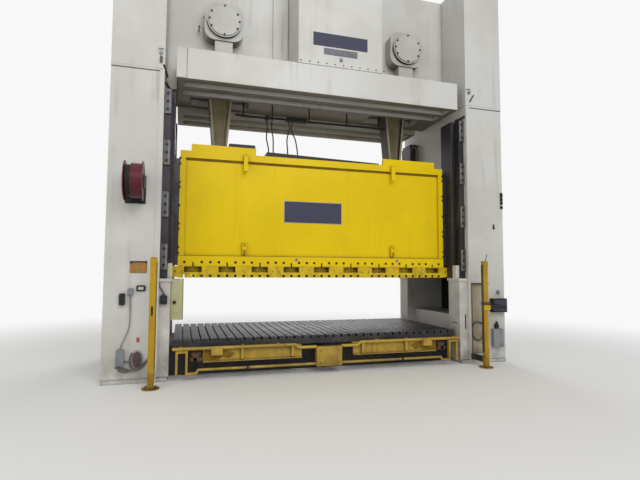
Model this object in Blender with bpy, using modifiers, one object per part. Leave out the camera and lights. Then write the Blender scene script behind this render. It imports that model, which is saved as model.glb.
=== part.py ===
"""A two-point straight-side stamping press, in metres, +Z up.

The frame is a bed, two uprights with side windows and a crown, held together by
four tie rods. Two counter-rotating eccentric gears in the crown lift the wide
yellow slide by a pair of connecting rods. The slide is drawn at the bottom of
its stroke. Coordinates in this file are measured from the middle of the slide,
at floor level; one empty then carries the whole press to its own origin.
"""

import math

import bmesh
import bpy
from mathutils import Matrix, Vector

# Clearances
SEAT = 0.0003
RUN = 0.0018
OVER = 0.06

# Slide, its slotted plate and the die space
SLOT_PITCH = 0.1524
SLOT_EDGE = 0.09
SLOTLESS_STEPS = (-6, 6)
SLIDE_OVERHANG = 0.755
SLIDE_REACH = 0.915
STROKE = 0.60
SHUT_HEIGHT = 1.06
PLATE_THICKNESS = 0.225
SLIDE_HEIGHT = 2.105
FLANGE_HEIGHT = 0.175
BAND_HEIGHT = 0.13
BAND_WIDTH = 0.10
FACE_SETBACK = 0.045
RIM_WALL = 0.06
RIM_DEPTH = 0.15
ROD_WALL_INWARD = 0.63
ROD_WALL_OUTWARD = 0.56
ROD_WALL_RISE = 0.13

# Slots, clamp windows and tapped holes
THROAT_WIDTH = 0.027
HEAD_WIDTH = 0.050
PLATE_THROAT = 0.018
PLATE_HEAD = 0.034
BOLSTER_THROAT = 0.030
BOLSTER_HEAD = 0.028
WINDOW_EVERY = 4
WINDOW_WIDTH = 0.31
WINDOW_HEIGHT = 0.105
WINDOW_RISE = 0.098
WINDOW_DEPTH = 0.12
NECK_WIDTH = 0.027
TAPPED_RADIUS = 0.021
TAPPED_DEPTH = 0.05
TAPPED_RISE = 0.057

# Slide fittings
LINER_WIDTH = 0.19
LINER_THICKNESS = 0.0944
LINER_TOP_INSET = 0.155
LINER_INSET = 0.02
END_BLOCK_LENGTH = 0.088
END_BLOCK_DEPTH = 0.16
END_BLOCK_TRIM = 0.012
LUG_X = 1.52
LUG_WIDTH = 0.075
LUG_DEPTH = 0.085
UPPER_LUG_HEIGHT = 0.32
LOWER_LUG_HEIGHT = 0.22
LUG_TOP_DROP = 0.015
LUG_EDGE = 0.03

# Bolster and bed
BOLSTER_TOP = 0.66
BOLSTER_THICKNESS = 0.15
BOLSTER_SIDE_GAP = 0.067
BOLSTER_REACH = 1.22
BED_POST_GAP = 0.01
SOLE_HEIGHT = 0.07
SOLE_INSET = 0.03

# Uprights
UPRIGHT_WIDTH = 0.86
FRAME_OVERHANG = 0.48
CROWN_CLEARANCE = 0.68
SIDE_WINDOW_EDGE = 0.465
SIDE_WINDOW_LOW = 0.93
SIDE_WINDOW_HEIGHT = 2.37
SIDE_GUARD_THICKNESS = 0.03
SIDE_GUARD_INSET = 0.05
PANEL_RECESS_INSET = 0.075
PANEL_RECESS_WIDTH = 0.38
PANEL_RECESS_LOW = 0.19
PANEL_RECESS_HIGH = 1.60
PANEL_RECESS_DEPTH = 0.07
CASING_BEVEL = 0.012

# Lower posts that the gibs stand on
POST_WIDTH = 0.18
POST_SETBACK = 0.055
POST_DEPTH = 0.40
POST_TOP = 1.71
CAP_THICKNESS = 0.05
CAP_LIP = 0.022
FOOT_WIDTH = 0.08
FOOT_DEPTH = 0.12
FOOT_HEIGHT = 0.265

# Gibs
GIB_THICKNESS = 0.19
GIB_TOP_GAP = 0.29
GIB_FRONT_REACH = 0.22
GIB_BACK_INSET = 0.195
GIB_RUN = 0.0003
BLOCK_WIDTH = 0.12
BLOCK_DEPTH = 0.18
BLOCK_HEIGHT = 0.45
BLOCK_RISE = 0.37
BLOCK_TOP_GAP = 0.245
BLOCKS_PER_GIB = 4
BLOCK_BEVEL = 0.012
KEEPER_WIDTH = 0.112
KEEPER_DEPTH = 0.155

# Crown
GEAR_END_GAP = 0.0447
PINION_HEADROOM = 0.04
CROWN_PLATE = 0.06
CROWN_FLOOR = 0.12
CROWN_ROOF = 0.10
CASE_END = 0.03
ROD_SLOT_HALF = 0.60
ROD_SLOT_REACH = 0.30
BEAM_END_GAP = 0.19
BEAM_DROP = 0.12
BEAM_HEIGHT = 0.56
BEAM_GROOVE_WIDTH = 0.26
BEAM_GROOVE_DEPTH = 0.08
BEAM_GROOVE_EDGE = 0.12
DRIVE_BOX_LEFT = -0.62
DRIVE_BOX_RIGHT = 1.10
COVER_PANEL_GAP = 0.02
COVER_PANEL_WIDTH = 0.305
COVER_PANEL_THICKNESS = 0.035
COVER_PANEL_EDGE = 0.04

# Tie rods
TIE_EDGE = 0.265
TIE_RADIUS = 0.09
TIE_STICKOUT = 0.30
NUT_RADIUS = 0.17
NUT_HEIGHT = 0.18

# Eccentric drive
PIN_RISE = 1.34
PIN_RADIUS = 0.14
SHOULDER_RADIUS = 0.20
SHEAVE_RADIUS = 0.50
SHEAVE_FRONT = 0.19
GEAR_MODULE = 0.05
MAIN_TEETH = 38
IDLER_TEETH = 20
PINION_TEETH = 14
GEAR_FACE = 0.21
HUB_RADIUS = 0.22
IDLER_SHAFT_RADIUS = 0.07
IDLER_HUB_RADIUS = 0.16
DRIVE_SHAFT_RADIUS = 0.09
TOOTH_THINNING = 0.004
ADDENDUM_SHARE = 0.8
DEDENDUM_SHARE = 1.05
PRESSURE_ANGLE = math.radians(20)

# Connecting rods
ROD_HALF_THICKNESS = 0.18
ROD_RING = 0.64
ROD_NECK_HALF = 0.24
ROD_NECK_DROP = 0.95
ROD_WAIST_HALF = 0.14
ROD_WAIST_RISE = 0.56
WRIST_DROP = 0.30
ROD_EYE = 0.20
ROD_FLANGE = 0.045
ROD_WEB_DEPTH = 0.10
WRIST_RADIUS = 0.09
WRIST_REACH = 0.27
POCKET_HALF = 0.52
POCKET_REACH = 0.30
POCKET_FLOOR_GAP = 0.08
RING_ANGLE = math.radians(35)

# Bearing housings and covers on the crown
HOUSING_SIZE = 0.75
HOUSING_CORNER = 0.20
HOUSING_THICKNESS = 0.27
COVER_RADIUS = 0.33
COVER_THICKNESS = 0.08
COVER_GROOVE = 0.018
COVER_LAND = 0.03
SADDLE_WIDTH = 0.34
SADDLE_DEPTH = 0.24
REAR_COVER_RADIUS = 0.30
REAR_COVER_THICKNESS = 0.05

# Flywheel, motor, belt and their guard
FLYWHEEL_RADIUS = 0.75
FLYWHEEL_RIM = 0.12
FLYWHEEL_WEB = 0.06
FLYWHEEL_WIDTH = 0.22
FLYWHEEL_HUB = 0.18
FLYWHEEL_STAND = 0.125
CLUTCH_RADIUS = 0.30
CLUTCH_WIDTH = 0.09
MOTOR_X = -0.60
MOTOR_RISE = 0.36
MOTOR_RADIUS = 0.26
MOTOR_LENGTH = 0.66
MOTOR_BACK_GAP = 0.05
MOTOR_FOOT_HALF = 0.24
MOTOR_FOOT_HEIGHT = 0.05
MOTOR_BELL = 0.06
MOTOR_SHAFT_RADIUS = 0.035
PULLEY_RADIUS = 0.12
BELT_THICKNESS = 0.02
BELT_WIDTH = 0.16
GUARD_MARGIN = 0.06
GUARD_WALL = 0.03
GUARD_DEPTH = 0.54
SHAFT_WINDOW = 0.03

# Yellow pipe guard along the bolster
RAIL_STAND = 0.06
PIPE_RADIUS = 0.030
RAIL_RISE = 0.012
RAIL_STEP_DROP = 0.054
RAIL_OVERHANG = 0.014
RAIL_STEP_FAR = 0.64
RAIL_STEP_NEAR = 0.56
TROUGH_OUTER = 2.25
TROUGH_INNER = 0.50
TROUGH_OVERHANG = 0.11
TROUGH_SHELF = 0.21
TROUGH_DROP = 0.205
TROUGH_LIP = 0.045
TROUGH_SHEET = 0.012
STRUT_PLACES = (1.58, 0.68)
STRUT_WIDTH = 0.045
CLIP_BOX_PLACE = 2.02
CLIP_BOX_WIDTH = 0.19
CLIP_BOX_HEIGHT = 0.12
STIRRUP_INSET = 0.043
STIRRUP_WIDTH = 0.20
STIRRUP_BAR = 0.038
STIRRUP_DEPTH = 0.06
STIRRUP_LOW = 0.09
STIRRUP_TOE = 0.10
LOWER_PIPE_RADIUS = 0.026
LOWER_PIPE_HEIGHT = 0.165
CENTRE_BOX_HALF = 0.24
CENTRE_BOX_LOW = 0.12
CENTRE_BOX_PROUD = 0.002
CENTRE_BOX_DEPTH = 0.13

# Light-curtain posts beside the front opening
CURTAIN_INSET = 0.07
CURTAIN_STAND = 0.43
CURTAIN_SIZE = 0.10
CURTAIN_TOP = 2.06
CURTAIN_BEVEL = 0.015
BASE_RADIUS = 0.135
BASE_THICKNESS = 0.016
TOE_BAR_LOW = 0.10
TOE_BAR_HIGH = 0.20
TOE_BAR_WIDTH = 0.06
TOE_BAR_INSET = 0.04
ARM_SECTION = 0.07
ARM_WIDTH = 0.05

# Boxes on the upright fronts: inset from the upright's inner face, width, low and high
BOX_BEVEL = 0.008
CONTROL_BOX_INSET = 0.49
CONTROL_BOX_WIDTH = 0.34
CONTROL_BOX_LOW = 1.02
CONTROL_BOX_HIGH = 1.30
CONTROL_BOX_DEPTH = 0.12
JUNCTION_BOX_INSET = 0.51
JUNCTION_BOX_WIDTH = 0.24
JUNCTION_BOX_LOW = 0.32
JUNCTION_BOX_HIGH = 0.68
JUNCTION_BOX_DEPTH = 0.10
VALVE_BOX_INSET = 0.51
VALVE_BOX_WIDTH = 0.12
VALVE_BOX_LOW = 0.30
VALVE_BOX_HIGH = 0.56
VALVE_BOX_DEPTH = 0.06

# Hose reel on the left upright
REEL_INSET = 0.41
REEL_Z = 3.28
REEL_STAND = 0.36
REEL_RADIUS = 0.32
REEL_FLANGE = 0.012
REEL_HALF_WIDTH = 0.13
REEL_CORE = 0.11
REEL_AXLE = 0.025
REEL_CHEEK = 0.02
REEL_FOOT = 0.10
HOSE_WOUND = 0.26
HOSE_GAP = 0.004

# Facets round a full turn
FINE_STEPS = 48
ROUND_STEPS = 32
PIPE_STEPS = 12
BORE_STEPS = 24
HOLE_STEPS = 8
NUT_SIDES = 6

# Heights and places that follow from the sizes above
MAIN_RADIUS = GEAR_MODULE * MAIN_TEETH / 2
IDLER_RADIUS = GEAR_MODULE * IDLER_TEETH / 2
PINION_RADIUS = GEAR_MODULE * PINION_TEETH / 2
IDLER_X = IDLER_RADIUS
PIN_X = IDLER_X + IDLER_RADIUS + MAIN_RADIUS
SLIDE_HALF = PIN_X + SLIDE_OVERHANG
ROD_WALL_NEAR = PIN_X - ROD_WALL_INWARD
ROD_WALL_FAR = PIN_X + ROD_WALL_OUTWARD
PLATE_LOW = BOLSTER_TOP + SHUT_HEIGHT
SLIDE_LOW = PLATE_LOW + PLATE_THICKNESS
SLIDE_TOP = SLIDE_LOW + SLIDE_HEIGHT
LINER_LENGTH = SLIDE_HEIGHT - LINER_INSET - LINER_TOP_INSET
WRIST_Z = SLIDE_TOP - WRIST_DROP
GIB_IN = SLIDE_HALF + SEAT + LINER_THICKNESS + GIB_RUN
GIB_FRONT = SLIDE_REACH + GIB_FRONT_REACH
GIB_BACK = SLIDE_REACH - GIB_BACK_INSET
UPRIGHT_IN = GIB_IN + GIB_THICKNESS
UPRIGHT_OUT = UPRIGHT_IN + UPRIGHT_WIDTH
UPRIGHT_TOP = SLIDE_TOP + STROKE + CROWN_CLEARANCE
FRAME_REACH = SLIDE_REACH + FRAME_OVERHANG
SIDE_WINDOW_REACH = FRAME_REACH - SIDE_WINDOW_EDGE
SIDE_WINDOW_HIGH = SIDE_WINDOW_LOW + SIDE_WINDOW_HEIGHT
PANEL_RECESS_NEAR = UPRIGHT_IN + PANEL_RECESS_INSET
PANEL_RECESS_FAR = PANEL_RECESS_NEAR + PANEL_RECESS_WIDTH
TIE_X = UPRIGHT_IN + UPRIGHT_WIDTH / 2
TIE_Y = FRAME_REACH - TIE_EDGE
POST_IN = UPRIGHT_IN - POST_WIDTH
BOLSTER_HALF = POST_IN - BOLSTER_SIDE_GAP
BOLSTER_LOW = BOLSTER_TOP - BOLSTER_THICKNESS
POST_BACK = FRAME_REACH - POST_SETBACK - POST_DEPTH
BED_REACH = POST_BACK - BED_POST_GAP
GIB_TOP = UPRIGHT_TOP - GIB_TOP_GAP
BLOCK_FIRST = POST_TOP + BLOCK_RISE
BLOCK_PITCH = (GIB_TOP - BLOCK_TOP_GAP - BLOCK_FIRST) / (BLOCKS_PER_GIB - 1)
PIN_Z = UPRIGHT_TOP + PIN_RISE
DRIVE_Z = PIN_Z + IDLER_RADIUS + PINION_RADIUS
THROW = STROKE / 2
SHEAVE_Z = PIN_Z - THROW
ROD_LENGTH = SHEAVE_Z - WRIST_Z
ROD_WAIST_DROP = ROD_LENGTH - ROD_WAIST_RISE
GEAR_FRONT = ROD_HALF_THICKNESS + SEAT
GEAR_BACK = GEAR_FRONT + GEAR_FACE
CASE_REACH = GEAR_BACK + GEAR_END_GAP
CROWN_REACH = CASE_REACH + CROWN_PLATE
PINION_TIP = PINION_RADIUS + ADDENDUM_SHARE * GEAR_MODULE
CROWN_TOP = DRIVE_Z + PINION_TIP + PINION_HEADROOM + CROWN_ROOF
CASE_HALF = UPRIGHT_IN + CASE_END
BEAM_HALF = UPRIGHT_IN - BEAM_END_GAP
BEAM_LOW = UPRIGHT_TOP - BEAM_DROP
BEAM_HIGH = BEAM_LOW + BEAM_HEIGHT
COVER_PANEL_RIGHT = DRIVE_BOX_LEFT - COVER_PANEL_GAP
COVER_PANEL_LEFT = COVER_PANEL_RIGHT - COVER_PANEL_WIDTH
FLYWHEEL_FRONT = CROWN_REACH + FLYWHEEL_STAND
MOTOR_Z = CROWN_TOP + MOTOR_RISE
TROUGH_FACE = BOLSTER_REACH + TROUGH_OVERHANG
GUARD_PLANE = TROUGH_FACE + RAIL_STAND
RAIL_HIGH = BOLSTER_LOW + RAIL_RISE
RAIL_LOW = RAIL_HIGH - RAIL_STEP_DROP
RAIL_OUTER = BOLSTER_HALF + RAIL_OVERHANG
RAIL_INNER = CENTRE_BOX_HALF + SEAT
STIRRUP_OUTER = BOLSTER_HALF - STIRRUP_INSET
STIRRUP_INNER = STIRRUP_OUTER - STIRRUP_WIDTH
CENTRE_BOX_HIGH = RAIL_LOW + CENTRE_BOX_PROUD
CURTAIN_X = UPRIGHT_IN + CURTAIN_INSET
TOE_BAR_X = UPRIGHT_IN + TOE_BAR_INSET
CONTROL_BOX_LEFT = UPRIGHT_IN + CONTROL_BOX_INSET
CONTROL_BOX_RIGHT = CONTROL_BOX_LEFT + CONTROL_BOX_WIDTH
ARM_HEIGHT = (CONTROL_BOX_LOW + CONTROL_BOX_HIGH) / 2
JUNCTION_BOX_LEFT = UPRIGHT_IN + JUNCTION_BOX_INSET
JUNCTION_BOX_RIGHT = JUNCTION_BOX_LEFT + JUNCTION_BOX_WIDTH
VALVE_BOX_RIGHT = -UPRIGHT_IN - VALVE_BOX_INSET
VALVE_BOX_LEFT = VALVE_BOX_RIGHT - VALVE_BOX_WIDTH
REEL_X = -UPRIGHT_IN - REEL_INSET
FRONT_REACH = FRAME_REACH + REEL_STAND + REEL_RADIUS
ORIGIN_SHIFT = (FRONT_REACH - FRAME_REACH) / 2

SIDES = {"left": -1, "right": 1}
ENDS = {"front": -1, "rear": 1}

CREAM = ("cream_paint", (0.72, 0.70, 0.62), 0.45, 0.0)
YELLOW = ("slide_yellow", (0.86, 0.60, 0.02), 0.35, 0.0)
SAFETY_YELLOW = ("safety_yellow", (0.66, 0.46, 0.03), 0.5, 0.0)
OLIVE = ("rod_cream", (0.42, 0.38, 0.24), 0.5, 0.0)
DARK_STEEL = ("dark_steel", (0.06, 0.06, 0.07), 0.45, 0.8)
BARE_STEEL = ("machined_steel", (0.42, 0.42, 0.43), 0.35, 0.9)
CAST_IRON = ("cast_iron", (0.16, 0.16, 0.17), 0.6, 0.7)
BLACK = ("black_paint", (0.03, 0.03, 0.035), 0.5, 0.0)
GREY = ("grey_enclosure", (0.36, 0.38, 0.38), 0.5, 0.0)
RED = ("reel_red", (0.30, 0.02, 0.03), 0.4, 0.0)
RUBBER = ("hose_rubber", (0.02, 0.02, 0.02), 0.7, 0.0)


def clear_scene():
    for item in list(bpy.data.objects):
        bpy.data.objects.remove(item)


def new_collection(name):
    collection = bpy.data.collections.new(name)
    bpy.context.scene.collection.children.link(collection)
    return collection


clear_scene()
PARTS = new_collection("straight_side_press")
CUTTERS = new_collection("cutters")


def material(spec):
    """The Principled material of one of the finishes above, made once."""
    name, colour, roughness, metallic = spec
    found = bpy.data.materials.get(name)
    if found:
        return found
    made = bpy.data.materials.new(name)
    made.use_nodes = True
    shader = made.node_tree.nodes["Principled BSDF"]
    shader.inputs["Base Color"].default_value = (*colour, 1.0)
    shader.inputs["Roughness"].default_value = roughness
    shader.inputs["Metallic"].default_value = metallic
    return made


PRESS = bpy.data.objects.new("press_origin", None)
PRESS.location = (0, ORIGIN_SHIFT, 0)
PARTS.objects.link(PRESS)


def as_mesh(name, bm):
    """Closes the bmesh, turns its faces outwards and gives it back as a mesh."""
    bmesh.ops.recalc_face_normals(bm, faces=bm.faces)
    mesh = bpy.data.meshes.new(name)
    bm.to_mesh(mesh)
    bm.free()
    mesh.shade_smooth()
    mesh.set_sharp_from_angle(angle=math.radians(35))
    return mesh


def add(name, bm, finish, origin=(0, 0, 0), bevel=0, bevel_steps=2):
    """Adds a node built in press coordinates, with its origin moved to its joint."""
    bmesh.ops.translate(bm, vec=-Vector(origin), verts=bm.verts)
    made = bpy.data.objects.new(name, as_mesh(name, bm))
    made.data.materials.append(material(finish))
    made.location = origin
    made.parent = PRESS
    PARTS.objects.link(made)
    if bevel:
        rounding = made.modifiers.new("edge_rounding", "BEVEL")
        rounding.width = bevel
        rounding.segments = bevel_steps
        rounding.limit_method = "ANGLE"
    return made


def combine(target, name, bm, operation):
    """Cuts from the target, or joins to it, a shape kept as a hidden helper."""
    helper = bpy.data.objects.new(name, as_mesh(name, bm))
    helper.parent = PRESS
    helper.hide_render = True
    helper.display_type = "WIRE"
    CUTTERS.objects.link(helper)
    step = target.modifiers.new(name, "BOOLEAN")
    step.operation = operation
    step.solver = "EXACT"
    step.use_self = True
    step.object = helper


def cut(target, name, bm):
    combine(target, name, bm, "DIFFERENCE")


def join(target, name, bm):
    combine(target, name, bm, "UNION")


def block(bm, low, high):
    """A box between two corners."""
    low, high = Vector(low), Vector(high)
    made = bmesh.ops.create_cube(bm, size=1)["verts"]
    bmesh.ops.scale(bm, vec=high - low, verts=made)
    bmesh.ops.translate(bm, vec=(low + high) / 2, verts=made)
    return bm


def span(side, near, far):
    """The two X values of a stretch that is mirrored with the side."""
    return sorted((side * near, side * far))


def side_block(bm, side, across, along, up):
    """A box whose X stretch is given away from the middle of the press."""
    near, far = span(side, *across)
    return block(bm, (near, along[0], up[0]), (far, along[1], up[1]))


TURNS = {
    "X": Matrix.Rotation(math.pi / 2, 4, "Y"),
    "Y": Matrix.Rotation(math.pi / 2, 4, "X"),
    "Z": Matrix.Identity(4),
}


def cylinder(bm, axis, centre, radius, low, high, steps):
    """A cylinder along an axis, from low to high along it, round the centre."""
    place = Vector(centre)
    place["XYZ".index(axis)] = (low + high) / 2
    bmesh.ops.create_cone(
        bm,
        cap_ends=True,
        segments=steps,
        radius1=radius,
        radius2=radius,
        depth=high - low,
        matrix=Matrix.Translation(place) @ TURNS[axis],
    )
    return bm


def outline(loops, normal, low, high):
    """Extrudes flat outlines between low and high along X or Y.

    An outline holds (x, z) points for normal Y and (y, z) points for normal X. It is
    drawn as a filled 2D curve, whose welded mesh is turned upright.
    """
    flat = bpy.data.curves.new("outline", "CURVE")
    flat.dimensions = "2D"
    flat.fill_mode = "BOTH"
    flat.extrude = (high - low) / 2
    for loop in loops:
        spline = flat.splines.new("POLY")
        spline.points.add(len(loop) - 1)
        for point, (across, up) in zip(spline.points, loop):
            point.co = (across, up, 0, 1)
        spline.use_cyclic_u = True
    bm = curve_bmesh(flat)
    middle = (low + high) / 2
    if normal == "Y":
        turn = Matrix(((1, 0, 0, 0), (0, 0, -1, middle), (0, 1, 0, 0), (0, 0, 0, 1)))
    else:
        turn = Matrix(((0, 0, 1, middle), (1, 0, 0, 0), (0, 1, 0, 0), (0, 0, 0, 1)))
    bmesh.ops.transform(bm, matrix=turn, verts=bm.verts)
    return bm


def curve_bmesh(curve):
    """The welded mesh of a curve that is only needed for its shape."""
    holder = bpy.data.objects.new("curve", curve)
    CUTTERS.objects.link(holder)
    graph = bpy.context.evaluated_depsgraph_get()
    mesh = bpy.data.meshes.new_from_object(holder.evaluated_get(graph))
    bpy.data.objects.remove(holder)
    bpy.data.curves.remove(curve)
    bm = bmesh.new()
    bm.from_mesh(mesh)
    bpy.data.meshes.remove(mesh)
    bmesh.ops.remove_doubles(bm, verts=bm.verts, dist=SEAT / 3)
    return bm


def pipe(points, radius):
    """A round bar along straight runs between points."""
    path = bpy.data.curves.new("pipe", "CURVE")
    path.dimensions = "3D"
    path.bevel_depth = radius
    path.bevel_resolution = 2
    path.use_fill_caps = True
    spline = path.splines.new("POLY")
    spline.points.add(len(points) - 1)
    for point, place in zip(spline.points, points):
        point.co = (*place, 1)
    return curve_bmesh(path)


def circle(centre, radius, steps, start=0.0):
    """Points of a circle in an outline's plane."""
    turns = (start + math.tau * step / steps for step in range(steps))
    return [(centre[0] + radius * math.cos(t), centre[1] + radius * math.sin(t)) for t in turns]


def arc(centre, radius, first, last, steps):
    turns = (first + (last - first) * step / steps for step in range(steps + 1))
    return [(centre[0] + radius * math.cos(t), centre[1] + radius * math.sin(t)) for t in turns]


def rounded_square(centre, size, corner, steps=6):
    half = size / 2 - corner
    points = []
    for quarter, (across, up) in enumerate(((1, 1), (-1, 1), (-1, -1), (1, -1))):
        hub = (centre[0] + across * half, centre[1] + up * half)
        first = quarter * math.pi / 2
        points += arc(hub, corner, first, first + math.pi / 2, steps)
    return points


def round_two_circles(centre_a, radius_a, centre_b, radius_b, steps):
    """The outline of a band stretched round two circles, with its flats outside them."""
    along = Vector(centre_b) - Vector(centre_a)
    heading = math.atan2(along.y, along.x)
    lean = math.acos((radius_a - radius_b) / along.length)
    few = steps // 2
    outer_a = radius_a / math.cos((math.pi - lean) / steps)
    outer_b = radius_b / math.cos(lean / few)
    first = arc(centre_a, outer_a, heading + lean, heading + math.tau - lean, steps)
    second = arc(centre_b, outer_b, heading - lean, heading + lean, few)
    return first + second


def turned(name, profile, centre, finish, steps):
    """A turned piece on an axis along Y: profile points are (radius, height to the front)."""
    mesh = bpy.data.meshes.new(name)
    closed = profile[0][0] > 0
    count = len(profile)
    links = [(k, (k + 1) % count) for k in range(count if closed else count - 1)]
    mesh.from_pydata([(radius, 0, height) for radius, height in profile], links, [])
    made = bpy.data.objects.new(name, mesh)
    made.data.materials.append(material(finish))
    made.location = centre
    made.rotation_euler = (math.pi / 2, 0, 0)
    made.parent = PRESS
    PARTS.objects.link(made)
    spin = made.modifiers.new("turning", "SCREW")
    spin.axis = "Z"
    spin.steps = steps
    spin.render_steps = steps
    spin.use_merge_vertices = True
    spin.merge_threshold = 0.0001
    spin.use_smooth_shade = True
    return made


def gear_outline(centre, teeth, tooth_at):
    """An involute gear with one tooth pointing along the angle tooth_at."""
    pitch = GEAR_MODULE * teeth / 2
    base = pitch * math.cos(PRESSURE_ANGLE)
    tip = pitch + ADDENDUM_SHARE * GEAR_MODULE
    root = pitch - DEDENDUM_SHARE * GEAR_MODULE
    half_tooth = math.pi / (2 * teeth) - TOOTH_THINNING / (2 * pitch)

    def unwound(radius):
        """How far the involute has turned from its start on the base circle."""
        if radius <= base:
            return 0.0
        slope = math.acos(base / radius)
        return math.tan(slope) - slope

    start = half_tooth + unwound(pitch)
    radii = [root, max(base, root), (max(base, root) + tip) / 2, tip]
    flank = [(radius, start - unwound(radius)) for radius in radii]
    if base <= root:
        flank = flank[1:]
    points = []
    for tooth in range(teeth):
        middle = tooth_at + math.tau * tooth / teeth
        rising = [(radius, middle - half) for radius, half in flank]
        falling = [(radius, middle + half) for radius, half in reversed(flank)]
        for radius, angle in rising + falling:
            across = centre[0] + radius * math.cos(angle)
            points.append((across, centre[1] + radius * math.sin(angle)))
    return points


def steps_within(reach):
    """The slot numbers that lie within a reach of the middle, counted from there."""
    last = int(reach / SLOT_PITCH)
    return range(-last, last + 1)


def slot_steps():
    """The slot numbers that are cut in the slide plate."""
    steps = steps_within(SLIDE_HALF - SLOT_EDGE)
    return [step for step in steps if step not in SLOTLESS_STEPS]


def window_steps():
    """The slot numbers that have a clamp window instead of a tapped hole."""
    steps = steps_within(SLIDE_HALF - SLOT_EDGE - WINDOW_WIDTH / 2)
    return [step for step in steps if step % WINDOW_EVERY == 0]


def slotted_outline(half, low, high, steps, throat, head, upwards):
    """A plate's end view with T-slots opening at its top or at its bottom."""
    edge, inward, far = (high, -1, low) if upwards else (low, 1, high)
    points = [(-half, far), (-half, edge)]
    for step in steps:
        middle = step * SLOT_PITCH
        neck_end = edge + inward * throat
        head_end = neck_end + inward * head
        for across, up in (
            (-THROAT_WIDTH / 2, edge),
            (-THROAT_WIDTH / 2, neck_end),
            (-HEAD_WIDTH / 2, neck_end),
            (-HEAD_WIDTH / 2, head_end),
            (HEAD_WIDTH / 2, head_end),
            (HEAD_WIDTH / 2, neck_end),
            (THROAT_WIDTH / 2, neck_end),
            (THROAT_WIDTH / 2, edge),
        ):
            points.append((middle + across, up))
    return points + [(half, edge), (half, far)]


def make_bed():
    """The lower frame, with a dark sole under each upright and its lower posts."""
    top = BOLSTER_LOW - SEAT
    inner = UPRIGHT_IN - SEAT
    bm = block(bmesh.new(), (-inner, -BED_REACH, 0), (inner, BED_REACH, top))
    bed = add("bed", bm, DARK_STEEL)
    reach = FRAME_REACH - SOLE_INSET
    for name, side in SIDES.items():
        across = (POST_IN + SOLE_INSET, UPRIGHT_OUT - SOLE_INSET)
        sole = side_block(bmesh.new(), side, across, (-reach, reach), (0, SOLE_HEIGHT))
        join(bed, "sole_" + name, sole)


def make_bolster():
    low = BOLSTER_LOW
    steps = steps_within(BOLSTER_HALF - SLOT_EDGE)
    section = slotted_outline(
        BOLSTER_HALF, low, BOLSTER_TOP, steps, BOLSTER_THROAT, BOLSTER_HEAD, True
    )
    add("bolster", outline([section], "Y", -BOLSTER_REACH, BOLSTER_REACH), DARK_STEEL)


def tie_bores(bm, side, low, high, radius):
    for end in ENDS.values():
        cylinder(bm, "Z", (side * TIE_X, end * TIE_Y, 0), radius, low, high, BORE_STEPS)
    return bm


def make_upright(name, side):
    """A box upright with a side window and bores for two tie rods."""
    up = (SOLE_HEIGHT + SEAT, UPRIGHT_TOP - SEAT)
    across = (UPRIGHT_IN, UPRIGHT_OUT)
    body = side_block(bmesh.new(), side, across, (-FRAME_REACH, FRAME_REACH), up)
    upright = add("upright_" + name, body, CREAM, bevel=CASING_BEVEL)
    window = side_block(
        bmesh.new(),
        side,
        (UPRIGHT_IN - OVER, UPRIGHT_OUT + OVER),
        (-SIDE_WINDOW_REACH, SIDE_WINDOW_REACH),
        (SIDE_WINDOW_LOW, SIDE_WINDOW_HIGH),
    )
    cut(upright, "side_window_" + name, window)
    bores = tie_bores(bmesh.new(), side, -OVER, UPRIGHT_TOP + OVER, TIE_RADIUS + SEAT)
    cut(upright, "tie_bores_" + name, bores)
    if side > 0:
        front = -FRAME_REACH
        recess = side_block(
            bmesh.new(),
            side,
            (PANEL_RECESS_NEAR, PANEL_RECESS_FAR),
            (front - OVER, front + PANEL_RECESS_DEPTH),
            (PANEL_RECESS_LOW, PANEL_RECESS_HIGH),
        )
        cut(upright, "panel_recess", recess)


def make_side_guard(name, side):
    """A dark panel that closes the outer side of the side window."""
    far = UPRIGHT_OUT - SIDE_GUARD_INSET
    reach = SIDE_WINDOW_REACH - SEAT
    across = (far - SIDE_GUARD_THICKNESS, far)
    up = (SIDE_WINDOW_LOW + SEAT, SIDE_WINDOW_HIGH - SEAT)
    panel = side_block(bmesh.new(), side, across, (-reach, reach), up)
    add("side_guard_" + name, panel, BLACK)


def make_lower_post(name, side, end):
    """A cream post under each gib, with a cap plate and a block before the gib."""
    outer = UPRIGHT_IN - SEAT
    front = FRAME_REACH - POST_SETBACK
    back = front - POST_DEPTH
    up = (SOLE_HEIGHT + SEAT, POST_TOP - CAP_THICKNESS / 2)
    body = side_block(bmesh.new(), side, (POST_IN, outer), span(end, back, front), up)
    post = add("lower_post_" + name, body, CREAM)
    cap = side_block(
        bmesh.new(),
        side,
        (POST_IN - CAP_LIP, outer),
        span(end, back - CAP_LIP, front + CAP_LIP),
        (POST_TOP - CAP_THICKNESS, POST_TOP),
    )
    join(post, "cap_" + name, cap)
    foot_back = GIB_FRONT + SEAT
    foot = side_block(
        bmesh.new(),
        side,
        (POST_IN - CAP_LIP, POST_IN - CAP_LIP + FOOT_WIDTH),
        span(end, foot_back, foot_back + FOOT_DEPTH),
        (POST_TOP - CAP_THICKNESS / 2, POST_TOP + FOOT_HEIGHT),
    )
    join(post, "foot_" + name, foot)


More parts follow.
